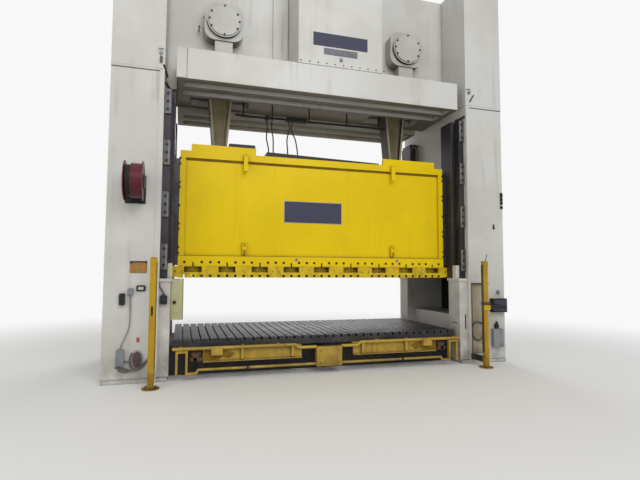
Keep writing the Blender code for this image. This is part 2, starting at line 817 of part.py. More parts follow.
def make_gib(name, side, end):
    """A slideway on the upright, with a keeper bar and four adjusting blocks before it."""
    across = (GIB_IN, UPRIGHT_IN - SEAT)
    up = (POST_TOP + SEAT, GIB_TOP)
    rail = side_block(bmesh.new(), side, across, span(end, GIB_BACK, GIB_FRONT), up)
    gib = add("gib_" + name, rail, DARK_STEEL, bevel=BLOCK_BEVEL / 2, bevel_steps=1)
    blocks = bmesh.new()
    across = (UPRIGHT_IN - SEAT - BLOCK_WIDTH, UPRIGHT_IN - SEAT)
    along = span(end, GIB_FRONT - BLOCK_BEVEL, GIB_FRONT + BLOCK_DEPTH)
    for row in range(BLOCKS_PER_GIB):
        middle = BLOCK_FIRST + row * BLOCK_PITCH
        up = (middle - BLOCK_HEIGHT / 2, middle + BLOCK_HEIGHT / 2)
        side_block(blocks, side, across, along, up)
    across = (UPRIGHT_IN - SEAT - KEEPER_WIDTH, UPRIGHT_IN - SEAT)
    along = span(end, GIB_FRONT - BLOCK_BEVEL, GIB_FRONT + KEEPER_DEPTH)
    side_block(blocks, side, across, along, (POST_TOP + SEAT + BLOCK_BEVEL, GIB_TOP - BLOCK_BEVEL))
    join(gib, "gib_blocks_" + name, blocks)


def make_crown():
    """The top of the frame: end columns, gear plates, a floor, a roof and a rear beam."""
    low, high = (-UPRIGHT_OUT, -FRAME_REACH, UPRIGHT_TOP), (UPRIGHT_OUT, FRAME_REACH, CROWN_TOP)
    crown = add("crown", block(bmesh.new(), low, high), CREAM)
    for name, end in ENDS.items():
        near, far = span(end, CROWN_REACH, FRAME_REACH + OVER)
        bay = block(
            bmesh.new(),
            (-UPRIGHT_IN, near, UPRIGHT_TOP - OVER),
            (UPRIGHT_IN, far, CROWN_TOP + OVER),
        )
        cut(crown, "bay_" + name, bay)
    case = block(
        bmesh.new(),
        (-CASE_HALF, -CASE_REACH, UPRIGHT_TOP + CROWN_FLOOR),
        (CASE_HALF, CASE_REACH, CROWN_TOP - CROWN_ROOF),
    )
    cut(crown, "gear_case", case)
    slots = bmesh.new()
    for side in SIDES.values():
        across = (PIN_X - ROD_SLOT_HALF, PIN_X + ROD_SLOT_HALF)
        up = (UPRIGHT_TOP - OVER, UPRIGHT_TOP + CROWN_FLOOR + OVER)
        side_block(slots, side, across, (-ROD_SLOT_REACH, ROD_SLOT_REACH), up)
    cut(crown, "rod_slots", slots)
    bores = bmesh.new()
    front, back = (-CROWN_REACH - OVER, -CASE_REACH + OVER), (CASE_REACH - OVER, CROWN_REACH + OVER)
    for side in SIDES.values():
        pin = (side * PIN_X, 0, PIN_Z)
        idler = (side * IDLER_X, 0, PIN_Z)
        cylinder(bores, "Y", pin, SHOULDER_RADIUS + SEAT, *front, ROUND_STEPS)
        cylinder(bores, "Y", pin, PIN_RADIUS + SEAT, *back, ROUND_STEPS)
        cylinder(bores, "Y", idler, IDLER_SHAFT_RADIUS + RUN, *front, BORE_STEPS)
        cylinder(bores, "Y", idler, IDLER_SHAFT_RADIUS + RUN, *back, BORE_STEPS)
    drive = (IDLER_X, 0, DRIVE_Z)
    cylinder(bores, "Y", drive, DRIVE_SHAFT_RADIUS + RUN, *back, BORE_STEPS)
    cut(crown, "shaft_bores", bores)
    ties = bmesh.new()
    for side in SIDES.values():
        tie_bores(ties, side, UPRIGHT_TOP - OVER, CROWN_TOP + OVER, TIE_RADIUS + SEAT)
    cut(crown, "tie_bores", ties)
    low = (COVER_PANEL_LEFT, -CROWN_REACH - COVER_PANEL_THICKNESS, BEAM_HIGH + SEAT)
    high = (COVER_PANEL_RIGHT, -CROWN_REACH + CROWN_PLATE / 2, CROWN_TOP - COVER_PANEL_EDGE)
    join(crown, "cover_panel", block(bmesh.new(), low, high))
    low = (-BEAM_HALF, CROWN_REACH - CROWN_PLATE / 2, BEAM_LOW)
    join(crown, "rear_beam", block(bmesh.new(), low, (BEAM_HALF, FRAME_REACH, BEAM_HIGH)))
    cut(crown, "rear_beam_grooves", beam_grooves(ENDS["rear"]))


def beam_grooves(end):
    """Two shallow troughs between the bottom plates of a box beam."""
    grooves = bmesh.new()
    inner = BEAM_HALF - BEAM_GROOVE_EDGE
    starts = (CROWN_REACH + BEAM_GROOVE_EDGE, FRAME_REACH - BEAM_GROOVE_EDGE - BEAM_GROOVE_WIDTH)
    for start in starts:
        near, far = span(end, start, start + BEAM_GROOVE_WIDTH)
        low, high = (-inner, near, BEAM_LOW - OVER), (inner, far, BEAM_LOW + BEAM_GROOVE_DEPTH)
        block(grooves, low, high)
    return grooves


def make_front_beam():
    """The box beam across the crown's lower front, with two grooves underneath."""
    back = -CROWN_REACH - SEAT
    low, high = (-BEAM_HALF, -FRAME_REACH, BEAM_LOW), (BEAM_HALF, back, BEAM_HIGH)
    beam = add("crown_front_beam", block(bmesh.new(), low, high), CREAM, bevel=CASING_BEVEL)
    cut(beam, "beam_grooves", beam_grooves(ENDS["front"]))


def make_drive_box():
    """The cover over the front ends of the intermediate shafts."""
    back = -CROWN_REACH - SEAT
    low = (DRIVE_BOX_LEFT, -FRAME_REACH, BEAM_HIGH + SEAT)
    high = (DRIVE_BOX_RIGHT, back, CROWN_TOP)
    add("crown_drive_box", block(bmesh.new(), low, high), CREAM, bevel=CASING_BEVEL)


def make_bearing(name, side):
    """A rounded square housing, its saddle on the beam and its bolted round cover."""
    back = -CROWN_REACH - SEAT
    centre = (side * PIN_X, PIN_Z)
    body = outline(
        [rounded_square(centre, HOUSING_SIZE, HOUSING_CORNER)], "Y", back - HOUSING_THICKNESS, back
    )
    housing = add("bearing_housing_" + name, body, CREAM, bevel=CASING_BEVEL)
    saddle = block(
        bmesh.new(),
        (centre[0] - SADDLE_WIDTH / 2, back - SADDLE_DEPTH, BEAM_HIGH + SEAT),
        (centre[0] + SADDLE_WIDTH / 2, back, PIN_Z - HOUSING_SIZE / 2 + HOUSING_CORNER / 4),
    )
    join(housing, "saddle_" + name, saddle)
    inner = COVER_RADIUS - COVER_LAND
    profile = [
        (0, COVER_THICKNESS),
        (inner, COVER_THICKNESS),
        (inner, COVER_THICKNESS - COVER_GROOVE),
        (COVER_RADIUS, COVER_THICKNESS - COVER_GROOVE),
        (COVER_RADIUS, 0),
        (0, 0),
    ]
    seat = back - HOUSING_THICKNESS - SEAT
    turned("bearing_cover_" + name, profile, (centre[0], seat, PIN_Z), CREAM, FINE_STEPS)


def make_rear_cover(name, side):
    near = CROWN_REACH + SEAT
    pin = (side * PIN_X, 0, PIN_Z)
    far = near + REAR_COVER_THICKNESS
    disc = cylinder(bmesh.new(), "Y", pin, REAR_COVER_RADIUS, near, far, ROUND_STEPS)
    add("rear_cover_" + name, disc, CREAM)


def make_tie_rod(name, side, end):
    """A rod through the upright and the crown, with its nut on the crown's top."""
    place = (side * TIE_X, end * TIE_Y, 0)
    low, high = SOLE_HEIGHT + SEAT, CROWN_TOP + TIE_STICKOUT
    rod = cylinder(bmesh.new(), "Z", place, TIE_RADIUS, low, high, BORE_STEPS)
    made = add("tie_rod_" + name, rod, BARE_STEEL)
    base = CROWN_TOP + SEAT
    nut = cylinder(bmesh.new(), "Z", place, NUT_RADIUS, base, base + NUT_HEIGHT, NUT_SIDES)
    join(made, "tie_nut_" + name, nut)


def make_eccentric_pin(name, side):
    """The fixed pin that an eccentric gear turns on, with a shoulder at the front."""
    front, step, back = CROWN_REACH, SHEAVE_FRONT + SEAT, -CROWN_REACH
    profile = [
        (0, front),
        (SHOULDER_RADIUS, front),
        (SHOULDER_RADIUS, step),
        (PIN_RADIUS, step),
        (PIN_RADIUS, back),
        (0, back),
    ]
    centre = (side * PIN_X, 0, PIN_Z)
    turned("eccentric_pin_" + name, profile, centre, BARE_STEEL, ROUND_STEPS)


def make_eccentric_gear(name, side):
    """A main gear cast with its eccentric sheave, which is at its lowest at rest."""
    centre = (side * PIN_X, PIN_Z)
    pitch_angle = math.tau / MAIN_TEETH
    tooth_at = 0.0 if side < 0 else math.pi + pitch_angle / 2
    teeth = outline([gear_outline(centre, MAIN_TEETH, tooth_at)], "Y", GEAR_FRONT, GEAR_BACK)
    origin = (side * PIN_X, 0, PIN_Z)
    gear = add("eccentric_gear_" + name, teeth, CAST_IRON, origin)
    sheave = bmesh.new()
    middle = (side * PIN_X, 0, SHEAVE_Z)
    overlap = (GEAR_FRONT + GEAR_BACK) / 2
    cylinder(sheave, "Y", middle, SHEAVE_RADIUS, -SHEAVE_FRONT, overlap, FINE_STEPS)
    join(gear, "sheave_" + name, sheave)
    hub = cylinder(bmesh.new(), "Y", origin, HUB_RADIUS, overlap, CASE_REACH - SEAT, ROUND_STEPS)
    join(gear, "hub_" + name, hub)
    bore = bmesh.new()
    cylinder(bore, "Y", origin, PIN_RADIUS + RUN, -CASE_REACH, CASE_REACH + OVER, ROUND_STEPS)
    cut(gear, "bore_" + name, bore)


def rod_outline(centre):
    """The connecting rod: a ring round the sheave, a tapering shank and a small eye."""
    lean = math.atan2(ROD_WAIST_HALF - ROD_EYE, ROD_LENGTH - ROD_WAIST_DROP)
    down = -math.pi / 2
    ring = arc((0, 0), ROD_RING, down + RING_ANGLE, down + math.tau - RING_ANGLE, FINE_STEPS)
    eye = arc((0, -ROD_LENGTH), ROD_EYE, math.pi - lean, math.tau + lean, ROUND_STEPS // 2)
    shank_left = [(-ROD_NECK_HALF, -ROD_NECK_DROP), (-ROD_WAIST_HALF, -ROD_WAIST_DROP)]
    shank_right = [(-across, up) for across, up in reversed(shank_left)]
    points = ring + shank_left + eye + shank_right
    return [(centre[0] + across, centre[1] + up) for across, up in points]


def make_rod(name, side):
    """A connecting rod with the wrist pin pressed in its small end."""
    centre = (side * PIN_X, SHEAVE_Z)
    hole = circle(centre, SHEAVE_RADIUS + RUN, FINE_STEPS)
    loops = [rod_outline(centre), hole]
    body = outline(loops, "Y", -ROD_HALF_THICKNESS, ROD_HALF_THICKNESS)
    origin = (centre[0], 0, SHEAVE_Z)
    rod = add("connecting_rod_" + name, body, OLIVE, origin)
    pin = bmesh.new()
    place = (centre[0], 0, WRIST_Z)
    cylinder(pin, "Y", place, WRIST_RADIUS, -WRIST_REACH, WRIST_REACH, BORE_STEPS)
    join(rod, "wrist_pin_" + name, pin)
    neck, waist = ROD_NECK_HALF - ROD_FLANGE, ROD_WAIST_HALF - ROD_FLANGE
    high, low = SHEAVE_Z - ROD_NECK_DROP, SHEAVE_Z - ROD_WAIST_DROP
    web = [(neck, high), (-neck, high), (-waist, low), (waist, low)]
    loop = [(centre[0] + across, up) for across, up in web]
    floor = ROD_HALF_THICKNESS - ROD_WEB_DEPTH
    for face, end in ENDS.items():
        near, far = span(end, floor, ROD_HALF_THICKNESS + OVER)
        cut(rod, "web_" + face + "_" + name, outline([loop], "Y", near, far))


def make_idler(name, side):
    """An intermediate gear on its own shaft, meshing with its main gear and its twin."""
    centre = (side * IDLER_X, PIN_Z)
    pitch_angle = math.tau / IDLER_TEETH
    tooth_at = pitch_angle / 2 if side < 0 else 0.0
    origin = (centre[0], 0, PIN_Z)
    teeth = outline([gear_outline(centre, IDLER_TEETH, tooth_at)], "Y", GEAR_FRONT, GEAR_BACK)
    gear = add("idler_gear_" + name, teeth, CAST_IRON, origin)
    hub = cylinder(
        bmesh.new(), "Y", origin, IDLER_HUB_RADIUS, -GEAR_FRONT, CASE_REACH - SEAT, BORE_STEPS
    )
    join(gear, "idler_hub_" + name, hub)
    shaft = cylinder(
        bmesh.new(), "Y", origin, IDLER_SHAFT_RADIUS, -CROWN_REACH, CROWN_REACH, BORE_STEPS
    )
    join(gear, "idler_shaft_" + name, shaft)


def make_drive_shaft():
    """The pinion shaft, which ends in the clutch drum behind the flywheel."""
    centre = (IDLER_X, DRIVE_Z)
    tooth_at = -math.pi / 2 + math.pi / PINION_TEETH
    origin = (centre[0], 0, DRIVE_Z)
    teeth = outline([gear_outline(centre, PINION_TEETH, tooth_at)], "Y", GEAR_FRONT, GEAR_BACK)
    pinion = add("drive_shaft", teeth, CAST_IRON, origin)
    hub = cylinder(
        bmesh.new(), "Y", origin, IDLER_HUB_RADIUS, GEAR_FRONT / 2, CASE_REACH - SEAT, BORE_STEPS
    )
    join(pinion, "pinion_hub", hub)
    clutch = FLYWHEEL_FRONT + FLYWHEEL_WIDTH + SEAT
    shaft = cylinder(
        bmesh.new(), "Y", origin, DRIVE_SHAFT_RADIUS, 0, clutch + CLUTCH_WIDTH / 2, BORE_STEPS
    )
    join(pinion, "shaft", shaft)
    drum = cylinder(
        bmesh.new(), "Y", origin, CLUTCH_RADIUS, clutch, clutch + CLUTCH_WIDTH, ROUND_STEPS
    )
    join(pinion, "clutch_drum", drum)


def make_flywheel():
    """A rimmed wheel that turns on the drive shaft whenever the clutch is out."""
    front, back = -FLYWHEEL_FRONT, -FLYWHEEL_FRONT - FLYWHEEL_WIDTH
    middle = (front + back) / 2
    web_front, web_back = middle + FLYWHEEL_WEB / 2, middle - FLYWHEEL_WEB / 2
    bore = DRIVE_SHAFT_RADIUS + RUN
    rim = FLYWHEEL_RADIUS - FLYWHEEL_RIM
    profile = [
        (bore, front),
        (FLYWHEEL_HUB, front),
        (FLYWHEEL_HUB, web_front),
        (rim, web_front),
        (rim, front),
        (FLYWHEEL_RADIUS, front),
        (FLYWHEEL_RADIUS, back),
        (rim, back),
        (rim, web_back),
        (FLYWHEEL_HUB, web_back),
        (FLYWHEEL_HUB, back),
        (bore, back),
    ]
    turned("flywheel", profile, (IDLER_X, 0, DRIVE_Z), CAST_IRON, FINE_STEPS)


def make_motor():
    """A foot-mounted motor on the crown, its pulley, the belt and the belt guard."""
    back = CROWN_REACH - MOTOR_BACK_GAP
    front = back - MOTOR_LENGTH
    centre = (MOTOR_X, 0, MOTOR_Z)
    body = cylinder(bmesh.new(), "Y", centre, MOTOR_RADIUS, front, back, ROUND_STEPS)
    motor = add("motor", body, GREY)
    foot = block(
        bmesh.new(),
        (MOTOR_X - MOTOR_FOOT_HALF, front + MOTOR_BELL, CROWN_TOP + SEAT),
        (MOTOR_X + MOTOR_FOOT_HALF, back - MOTOR_BELL, MOTOR_Z - MOTOR_RADIUS + MOTOR_FOOT_HEIGHT),
    )
    join(motor, "motor_foot", foot)
    centre_line = (FLYWHEEL_FRONT + FLYWHEEL_FRONT + FLYWHEEL_WIDTH) / 2
    near, far = centre_line - BELT_WIDTH / 2, centre_line + BELT_WIDTH / 2
    pulley = cylinder(bmesh.new(), "Y", centre, PULLEY_RADIUS, near, far, ROUND_STEPS)
    wheel = add("motor_pulley", pulley, CAST_IRON, centre)
    shaft = cylinder(
        bmesh.new(), "Y", centre, MOTOR_SHAFT_RADIUS, back + SEAT, far - BELT_WIDTH / 4, BORE_STEPS
    )
    join(wheel, "motor_shaft", shaft)
    drive, small = (IDLER_X, DRIVE_Z), (MOTOR_X, MOTOR_Z)
    inner = round_two_circles(
        drive, FLYWHEEL_RADIUS + SEAT, small, PULLEY_RADIUS + SEAT, FINE_STEPS
    )
    outer = round_two_circles(
        drive,
        FLYWHEEL_RADIUS + BELT_THICKNESS,
        small,
        PULLEY_RADIUS + BELT_THICKNESS,
        FINE_STEPS,
    )
    add("drive_belt", outline([outer, inner], "Y", near, far), RUBBER)
    reach = FLYWHEEL_RADIUS + BELT_THICKNESS + GUARD_MARGIN
    small_reach = PULLEY_RADIUS + BELT_THICKNESS + GUARD_MARGIN
    shell = round_two_circles(
        drive, reach + GUARD_WALL, small, small_reach + GUARD_WALL, ROUND_STEPS
    )
    hollow = round_two_circles(drive, reach, small, small_reach, ROUND_STEPS)
    front = CROWN_REACH + REAR_COVER_THICKNESS + SEAT + SEAT
    guard = add("belt_guard", outline([shell], "Y", front, front + GUARD_DEPTH), CREAM)
    inside = outline([hollow], "Y", front + GUARD_WALL, front + GUARD_DEPTH - GUARD_WALL)
    cut(guard, "guard_hollow", inside)
    windows = bmesh.new()
    for place, radius in ((drive, DRIVE_SHAFT_RADIUS), (small, MOTOR_SHAFT_RADIUS)):
        hub = (place[0], 0, place[1])
        passes = (front - OVER, front + GUARD_WALL + OVER)
        cylinder(windows, "Y", hub, radius + SHAFT_WINDOW, *passes, BORE_STEPS)
    cut(guard, "shaft_windows", windows)
    pads = bmesh.new()
    for along in (-1, 1):
        low = (IDLER_X + along * reach / 2 - MOTOR_BELL, CROWN_REACH + SEAT, DRIVE_Z - reach / 2)
        high = (low[0] + MOTOR_BELL + MOTOR_BELL, front + GUARD_WALL / 2, low[2] + RIM_DEPTH)
        block(pads, low, high)
    join(guard, "guard_pads", pads)


def make_slide():
    """The welded slide, with set-back faces, an open top rim and two rod pockets."""
    high_wall = SLIDE_TOP + ROD_WALL_RISE
    low, high = (-SLIDE_HALF, -SLIDE_REACH, SLIDE_LOW), (SLIDE_HALF, SLIDE_REACH, high_wall)
    slide = add("slide", block(bmesh.new(), low, high), YELLOW)
    gaps = bmesh.new()
    far = SLIDE_HALF + OVER
    reach = SLIDE_REACH + OVER
    for near, end in (
        (-far, -ROD_WALL_FAR),
        (-ROD_WALL_NEAR, ROD_WALL_NEAR),
        (ROD_WALL_FAR, far),
    ):
        block(gaps, (near, -reach, SLIDE_TOP), (end, reach, high_wall + OVER))
    cut(slide, "rim_gaps", gaps)
    inner, depth = SLIDE_HALF - RIM_WALL, SLIDE_REACH - RIM_WALL
    deck = block(
        bmesh.new(), (-inner, -depth, SLIDE_TOP - RIM_DEPTH), (inner, depth, high_wall + OVER)
    )
    cut(slide, "rim", deck)
    pockets = bmesh.new()
    floor = WRIST_Z - ROD_EYE - POCKET_FLOOR_GAP
    for side in SIDES.values():
        across = (PIN_X - POCKET_HALF, PIN_X + POCKET_HALF)
        side_block(pockets, side, across, (-POCKET_REACH, POCKET_REACH), (floor, SLIDE_TOP))
    cut(slide, "rod_pockets", pockets)
    faces = bmesh.new()
    face = SLIDE_HALF - BAND_WIDTH
    for end in ENDS.values():
        near, far = span(end, SLIDE_REACH - FACE_SETBACK, SLIDE_REACH + OVER)
        block(
            faces,
            (-face, near, SLIDE_LOW + FLANGE_HEIGHT),
            (face, far, SLIDE_TOP - BAND_HEIGHT),
        )
    cut(slide, "set_back_faces", faces)
    holes = bmesh.new()
    front = -SLIDE_REACH
    windowed = window_steps()
    for step in steps_within(SLIDE_HALF - SLOT_EDGE):
        middle = step * SLOT_PITCH
        if step in windowed:
            low = (middle - NECK_WIDTH / 2, front - OVER, SLIDE_LOW - OVER)
            high = (middle + NECK_WIDTH / 2, front + WINDOW_DEPTH, SLIDE_LOW + TAPPED_RISE)
            block(holes, low, high)
        else:
            place = (middle, 0, SLIDE_LOW + TAPPED_RISE)
            ends = (front - OVER, front + TAPPED_DEPTH)
            cylinder(holes, "Y", place, TAPPED_RADIUS, *ends, HOLE_STEPS)
    cut(slide, "tapped_row", holes)
    weld_lugs(slide)


def make_slide_plate():
    """The slotted plate bolted under the slide, with clamp windows along its front."""
    high = SLIDE_LOW - SEAT
    section = slotted_outline(
        SLIDE_HALF, PLATE_LOW, high, slot_steps(), PLATE_THROAT, PLATE_HEAD, False
    )
    plate = add("slide_plate", outline([section], "Y", -SLIDE_REACH, SLIDE_REACH), YELLOW)
    windows = bmesh.new()
    necks = bmesh.new()
    front = -SLIDE_REACH
    low_edge = PLATE_LOW + WINDOW_RISE
    for step in window_steps():
        middle = step * SLOT_PITCH
        block(
            windows,
            (middle - WINDOW_WIDTH / 2, front - OVER, low_edge),
            (middle + WINDOW_WIDTH / 2, front + WINDOW_DEPTH, low_edge + WINDOW_HEIGHT),
        )
        block(
            necks,
            (middle - NECK_WIDTH / 2, front - OVER, low_edge + WINDOW_HEIGHT / 2),
            (middle + NECK_WIDTH / 2, front + WINDOW_DEPTH, high + OVER),
        )
    cut(plate, "clamp_windows", windows)
    cut(plate, "window_necks", necks)
    ends = bmesh.new()
    near = SLIDE_HALF
    for side in SIDES.values():
        across = (near - END_BLOCK_TRIM, near + END_BLOCK_LENGTH)
        up = (PLATE_LOW + END_BLOCK_TRIM, SLIDE_LOW - END_BLOCK_TRIM)
        side_block(ends, side, across, (front, front + END_BLOCK_DEPTH), up)
    join(plate, "end_blocks", ends)


def make_liner(name, side, end):
    """A wear liner on a corner of the slide's end, running in that corner's gib."""
    near = SLIDE_HALF + SEAT
    low = SLIDE_LOW + LINER_INSET
    along = span(end, SLIDE_REACH - LINER_INSET - LINER_WIDTH, SLIDE_REACH - LINER_INSET)
    across = (near, near + LINER_THICKNESS)
    liner = side_block(bmesh.new(), side, across, along, (low, low + LINER_LENGTH))
    add("slide_liner_" + name, liner, BARE_STEEL)


def weld_lugs(slide):
    """Lifting lugs at the top of the slide's front face and stops at its foot."""
    front = -SLIDE_REACH
    top = SLIDE_TOP - LUG_TOP_DROP
    root = front + LUG_EDGE
    upper = [
        (root, top),
        (front, top),
        (front - LUG_DEPTH, top - LUG_EDGE),
        (front - LUG_DEPTH, top - UPPER_LUG_HEIGHT),
        (front - LUG_EDGE, top - UPPER_LUG_HEIGHT),
        (front - LUG_EDGE, top - BAND_HEIGHT),
        (root, top - BAND_HEIGHT + LUG_EDGE),
    ]
    base = SLIDE_LOW + FLANGE_HEIGHT + LUG_EDGE
    back = front + FACE_SETBACK
    lower = [
        (back + LUG_EDGE, base),
        (back + LUG_EDGE, base + LOWER_LUG_HEIGHT),
        (back, base + LOWER_LUG_HEIGHT),
        (back - LUG_DEPTH, base + LOWER_LUG_HEIGHT - LUG_EDGE),
        (back - LUG_DEPTH, base + LOWER_LUG_HEIGHT / 2),
        (back - LUG_EDGE, base),
    ]
    for level, loop in (("upper", upper), ("lower", lower)):
        for name, side in SIDES.items():
            middle = side * LUG_X
            lug = outline([loop], "X", middle - LUG_WIDTH / 2, middle + LUG_WIDTH / 2)
            join(slide, level + "_lug_" + name, lug)


def make_front_guard(name, side):
    """The yellow rail along the bolster, with its struts, clip box and scrap trough."""
    plane = -GUARD_PLANE
    route = (
        (RAIL_OUTER, RAIL_HIGH),
        (RAIL_STEP_FAR, RAIL_HIGH),
        (RAIL_STEP_NEAR, RAIL_LOW),
        (RAIL_INNER, RAIL_LOW),
    )
    rail = pipe([(side * across, plane, up) for across, up in route], PIPE_RADIUS)
    guard = add("front_rail_" + name, rail, SAFETY_YELLOW)
    high = BOLSTER_LOW - SEAT
    face, lip = -TROUGH_FACE, -TROUGH_FACE - TROUGH_LIP
    inner = face + TROUGH_SHEET
    low = high - TROUGH_DROP
    section = [
        (face + TROUGH_SHELF, high),
        (face, high),
        (face, low),
        (lip, low - TROUGH_SHEET),
        (lip, low - TROUGH_SHEET - TROUGH_SHEET),
        (inner, low - TROUGH_SHEET),
        (inner, high - TROUGH_SHEET),
        (face + TROUGH_SHELF, high - TROUGH_SHEET),
    ]
    near, far = span(side, TROUGH_INNER, TROUGH_OUTER)
    join(guard, "trough_" + name, outline([section], "X", near, far))
    struts = bmesh.new()
    for place in STRUT_PLACES:
        across = (place - STRUT_WIDTH / 2, place + STRUT_WIDTH / 2)
        along = (plane - PIPE_RADIUS / 2, face + TROUGH_SHEET / 2)
        side_block(struts, side, across, along, (low + TROUGH_SHEET, RAIL_HIGH - PIPE_RADIUS / 2))
    across = (CLIP_BOX_PLACE - CLIP_BOX_WIDTH / 2, CLIP_BOX_PLACE + CLIP_BOX_WIDTH / 2)
    along = (plane - PIPE_RADIUS - TROUGH_SHEET, face + TROUGH_SHEET / 2)
    side_block(struts, side, across, along, (RAIL_HIGH - CLIP_BOX_HEIGHT, RAIL_HIGH))
    join(guard, "struts_" + name, struts)


def make_front_bracket(name, side):
    """An upside-down stirrup under the rail, with the lower pipe that starts at its toe."""
    plane = -GUARD_PLANE
    high = RAIL_HIGH - PIPE_RADIUS - SEAT
    bar = STIRRUP_BAR
    inner, toe = STIRRUP_INNER, STIRRUP_INNER - STIRRUP_TOE
    section = [
        (STIRRUP_OUTER, STIRRUP_LOW),
        (STIRRUP_OUTER, high),
        (inner, high),
        (inner, STIRRUP_LOW + bar),
        (toe, STIRRUP_LOW + bar),
        (toe, STIRRUP_LOW),
        (inner + bar, STIRRUP_LOW),
        (inner + bar, high - bar),
        (STIRRUP_OUTER - bar, high - bar),
        (STIRRUP_OUTER - bar, STIRRUP_LOW),
    ]
    loop = [(side * across, up) for across, up in section]
    along = (plane - STIRRUP_DEPTH / 2, plane + STIRRUP_DEPTH / 2)
    stirrup = add("front_bracket_" + name, outline([loop], "Y", *along), SAFETY_YELLOW)
    start, end = toe + bar, CENTRE_BOX_HALF + SEAT
    rise = LOWER_PIPE_HEIGHT
    low = STIRRUP_LOW + bar / 2
    route = [(start, low), (toe - bar, low), (toe - bar - bar, rise), (end, rise)]
    bent = pipe([(side * across, plane, up) for across, up in route], LOWER_PIPE_RADIUS)
    join(stirrup, "lower_pipe_" + name, bent)


def make_centre_box():
    plane = -GUARD_PLANE
    low = (-CENTRE_BOX_HALF, plane - CENTRE_BOX_DEPTH / 2, CENTRE_BOX_LOW)
    high = (CENTRE_BOX_HALF, plane + CENTRE_BOX_DEPTH / 2, CENTRE_BOX_HIGH)
    add("front_centre_box", block(bmesh.new(), low, high), SAFETY_YELLOW, bevel=BOX_BEVEL)


def make_curtain_post(name, side):
    """A light-curtain post on its round floor plate, with a bar to the lower post."""
    plane = -FRAME_REACH - CURTAIN_STAND
    middle = side * CURTAIN_X
    half = CURTAIN_SIZE / 2
    low = (middle - half, plane - half, BASE_THICKNESS / 2)
    high = (middle + half, plane + half, CURTAIN_TOP)
    body = block(bmesh.new(), low, high)
    post = add("curtain_post_" + name, body, SAFETY_YELLOW, bevel=CURTAIN_BEVEL, bevel_steps=1)
    base = bmesh.new()
    cylinder(base, "Z", (middle, plane, 0), BASE_RADIUS, 0, BASE_THICKNESS, BORE_STEPS)
    join(post, "base_" + name, base)
    across = (TOE_BAR_X, TOE_BAR_X + TOE_BAR_WIDTH)
    along = (plane, -FRAME_REACH - SEAT)
    bar = side_block(bmesh.new(), side, across, along, (TOE_BAR_LOW, TOE_BAR_HIGH))
    join(post, "toe_bar_" + name, bar)


def face_box(name, finish, left, right, low, high, depth):
    """A box screwed to the front face of an upright."""
    back = -FRAME_REACH - SEAT
    bm = block(bmesh.new(), (left, back - depth, low), (right, back, high))
    return add(name, bm, finish, bevel=BOX_BEVEL)


def make_upright_boxes():
    control = face_box(
        "control_box",
        BLACK,
        CONTROL_BOX_LEFT,
        CONTROL_BOX_RIGHT,
        CONTROL_BOX_LOW,
        CONTROL_BOX_HIGH,
        CONTROL_BOX_DEPTH,
    )
    arm = bmesh.new()
    plane = -FRAME_REACH - SEAT - CONTROL_BOX_DEPTH / 2
    start = CURTAIN_X + CURTAIN_SIZE / 2 + SEAT
    near = -FRAME_REACH - CURTAIN_STAND - ARM_WIDTH / 2
    up = (ARM_HEIGHT - ARM_SECTION / 2, ARM_HEIGHT + ARM_SECTION / 2)
    corner = CONTROL_BOX_LEFT + ARM_WIDTH
    block(arm, (start, near, up[0]), (corner, near + ARM_WIDTH, up[1]))
    join(control, "arm_across", arm)
    stem = bmesh.new()
    block(stem, (corner - ARM_WIDTH, near + ARM_WIDTH / 2, up[0]), (corner, plane, up[1]))
    join(control, "arm_stem", stem)
    face_box(
        "junction_box",
        GREY,
        JUNCTION_BOX_LEFT,
        JUNCTION_BOX_RIGHT,
        JUNCTION_BOX_LOW,
        JUNCTION_BOX_HIGH,
        JUNCTION_BOX_DEPTH,
    )
    face_box(
        "valve_box",
        GREY,
        VALVE_BOX_LEFT,
        VALVE_BOX_RIGHT,
        VALVE_BOX_LOW,
        VALVE_BOX_HIGH,
        VALVE_BOX_DEPTH,
    )


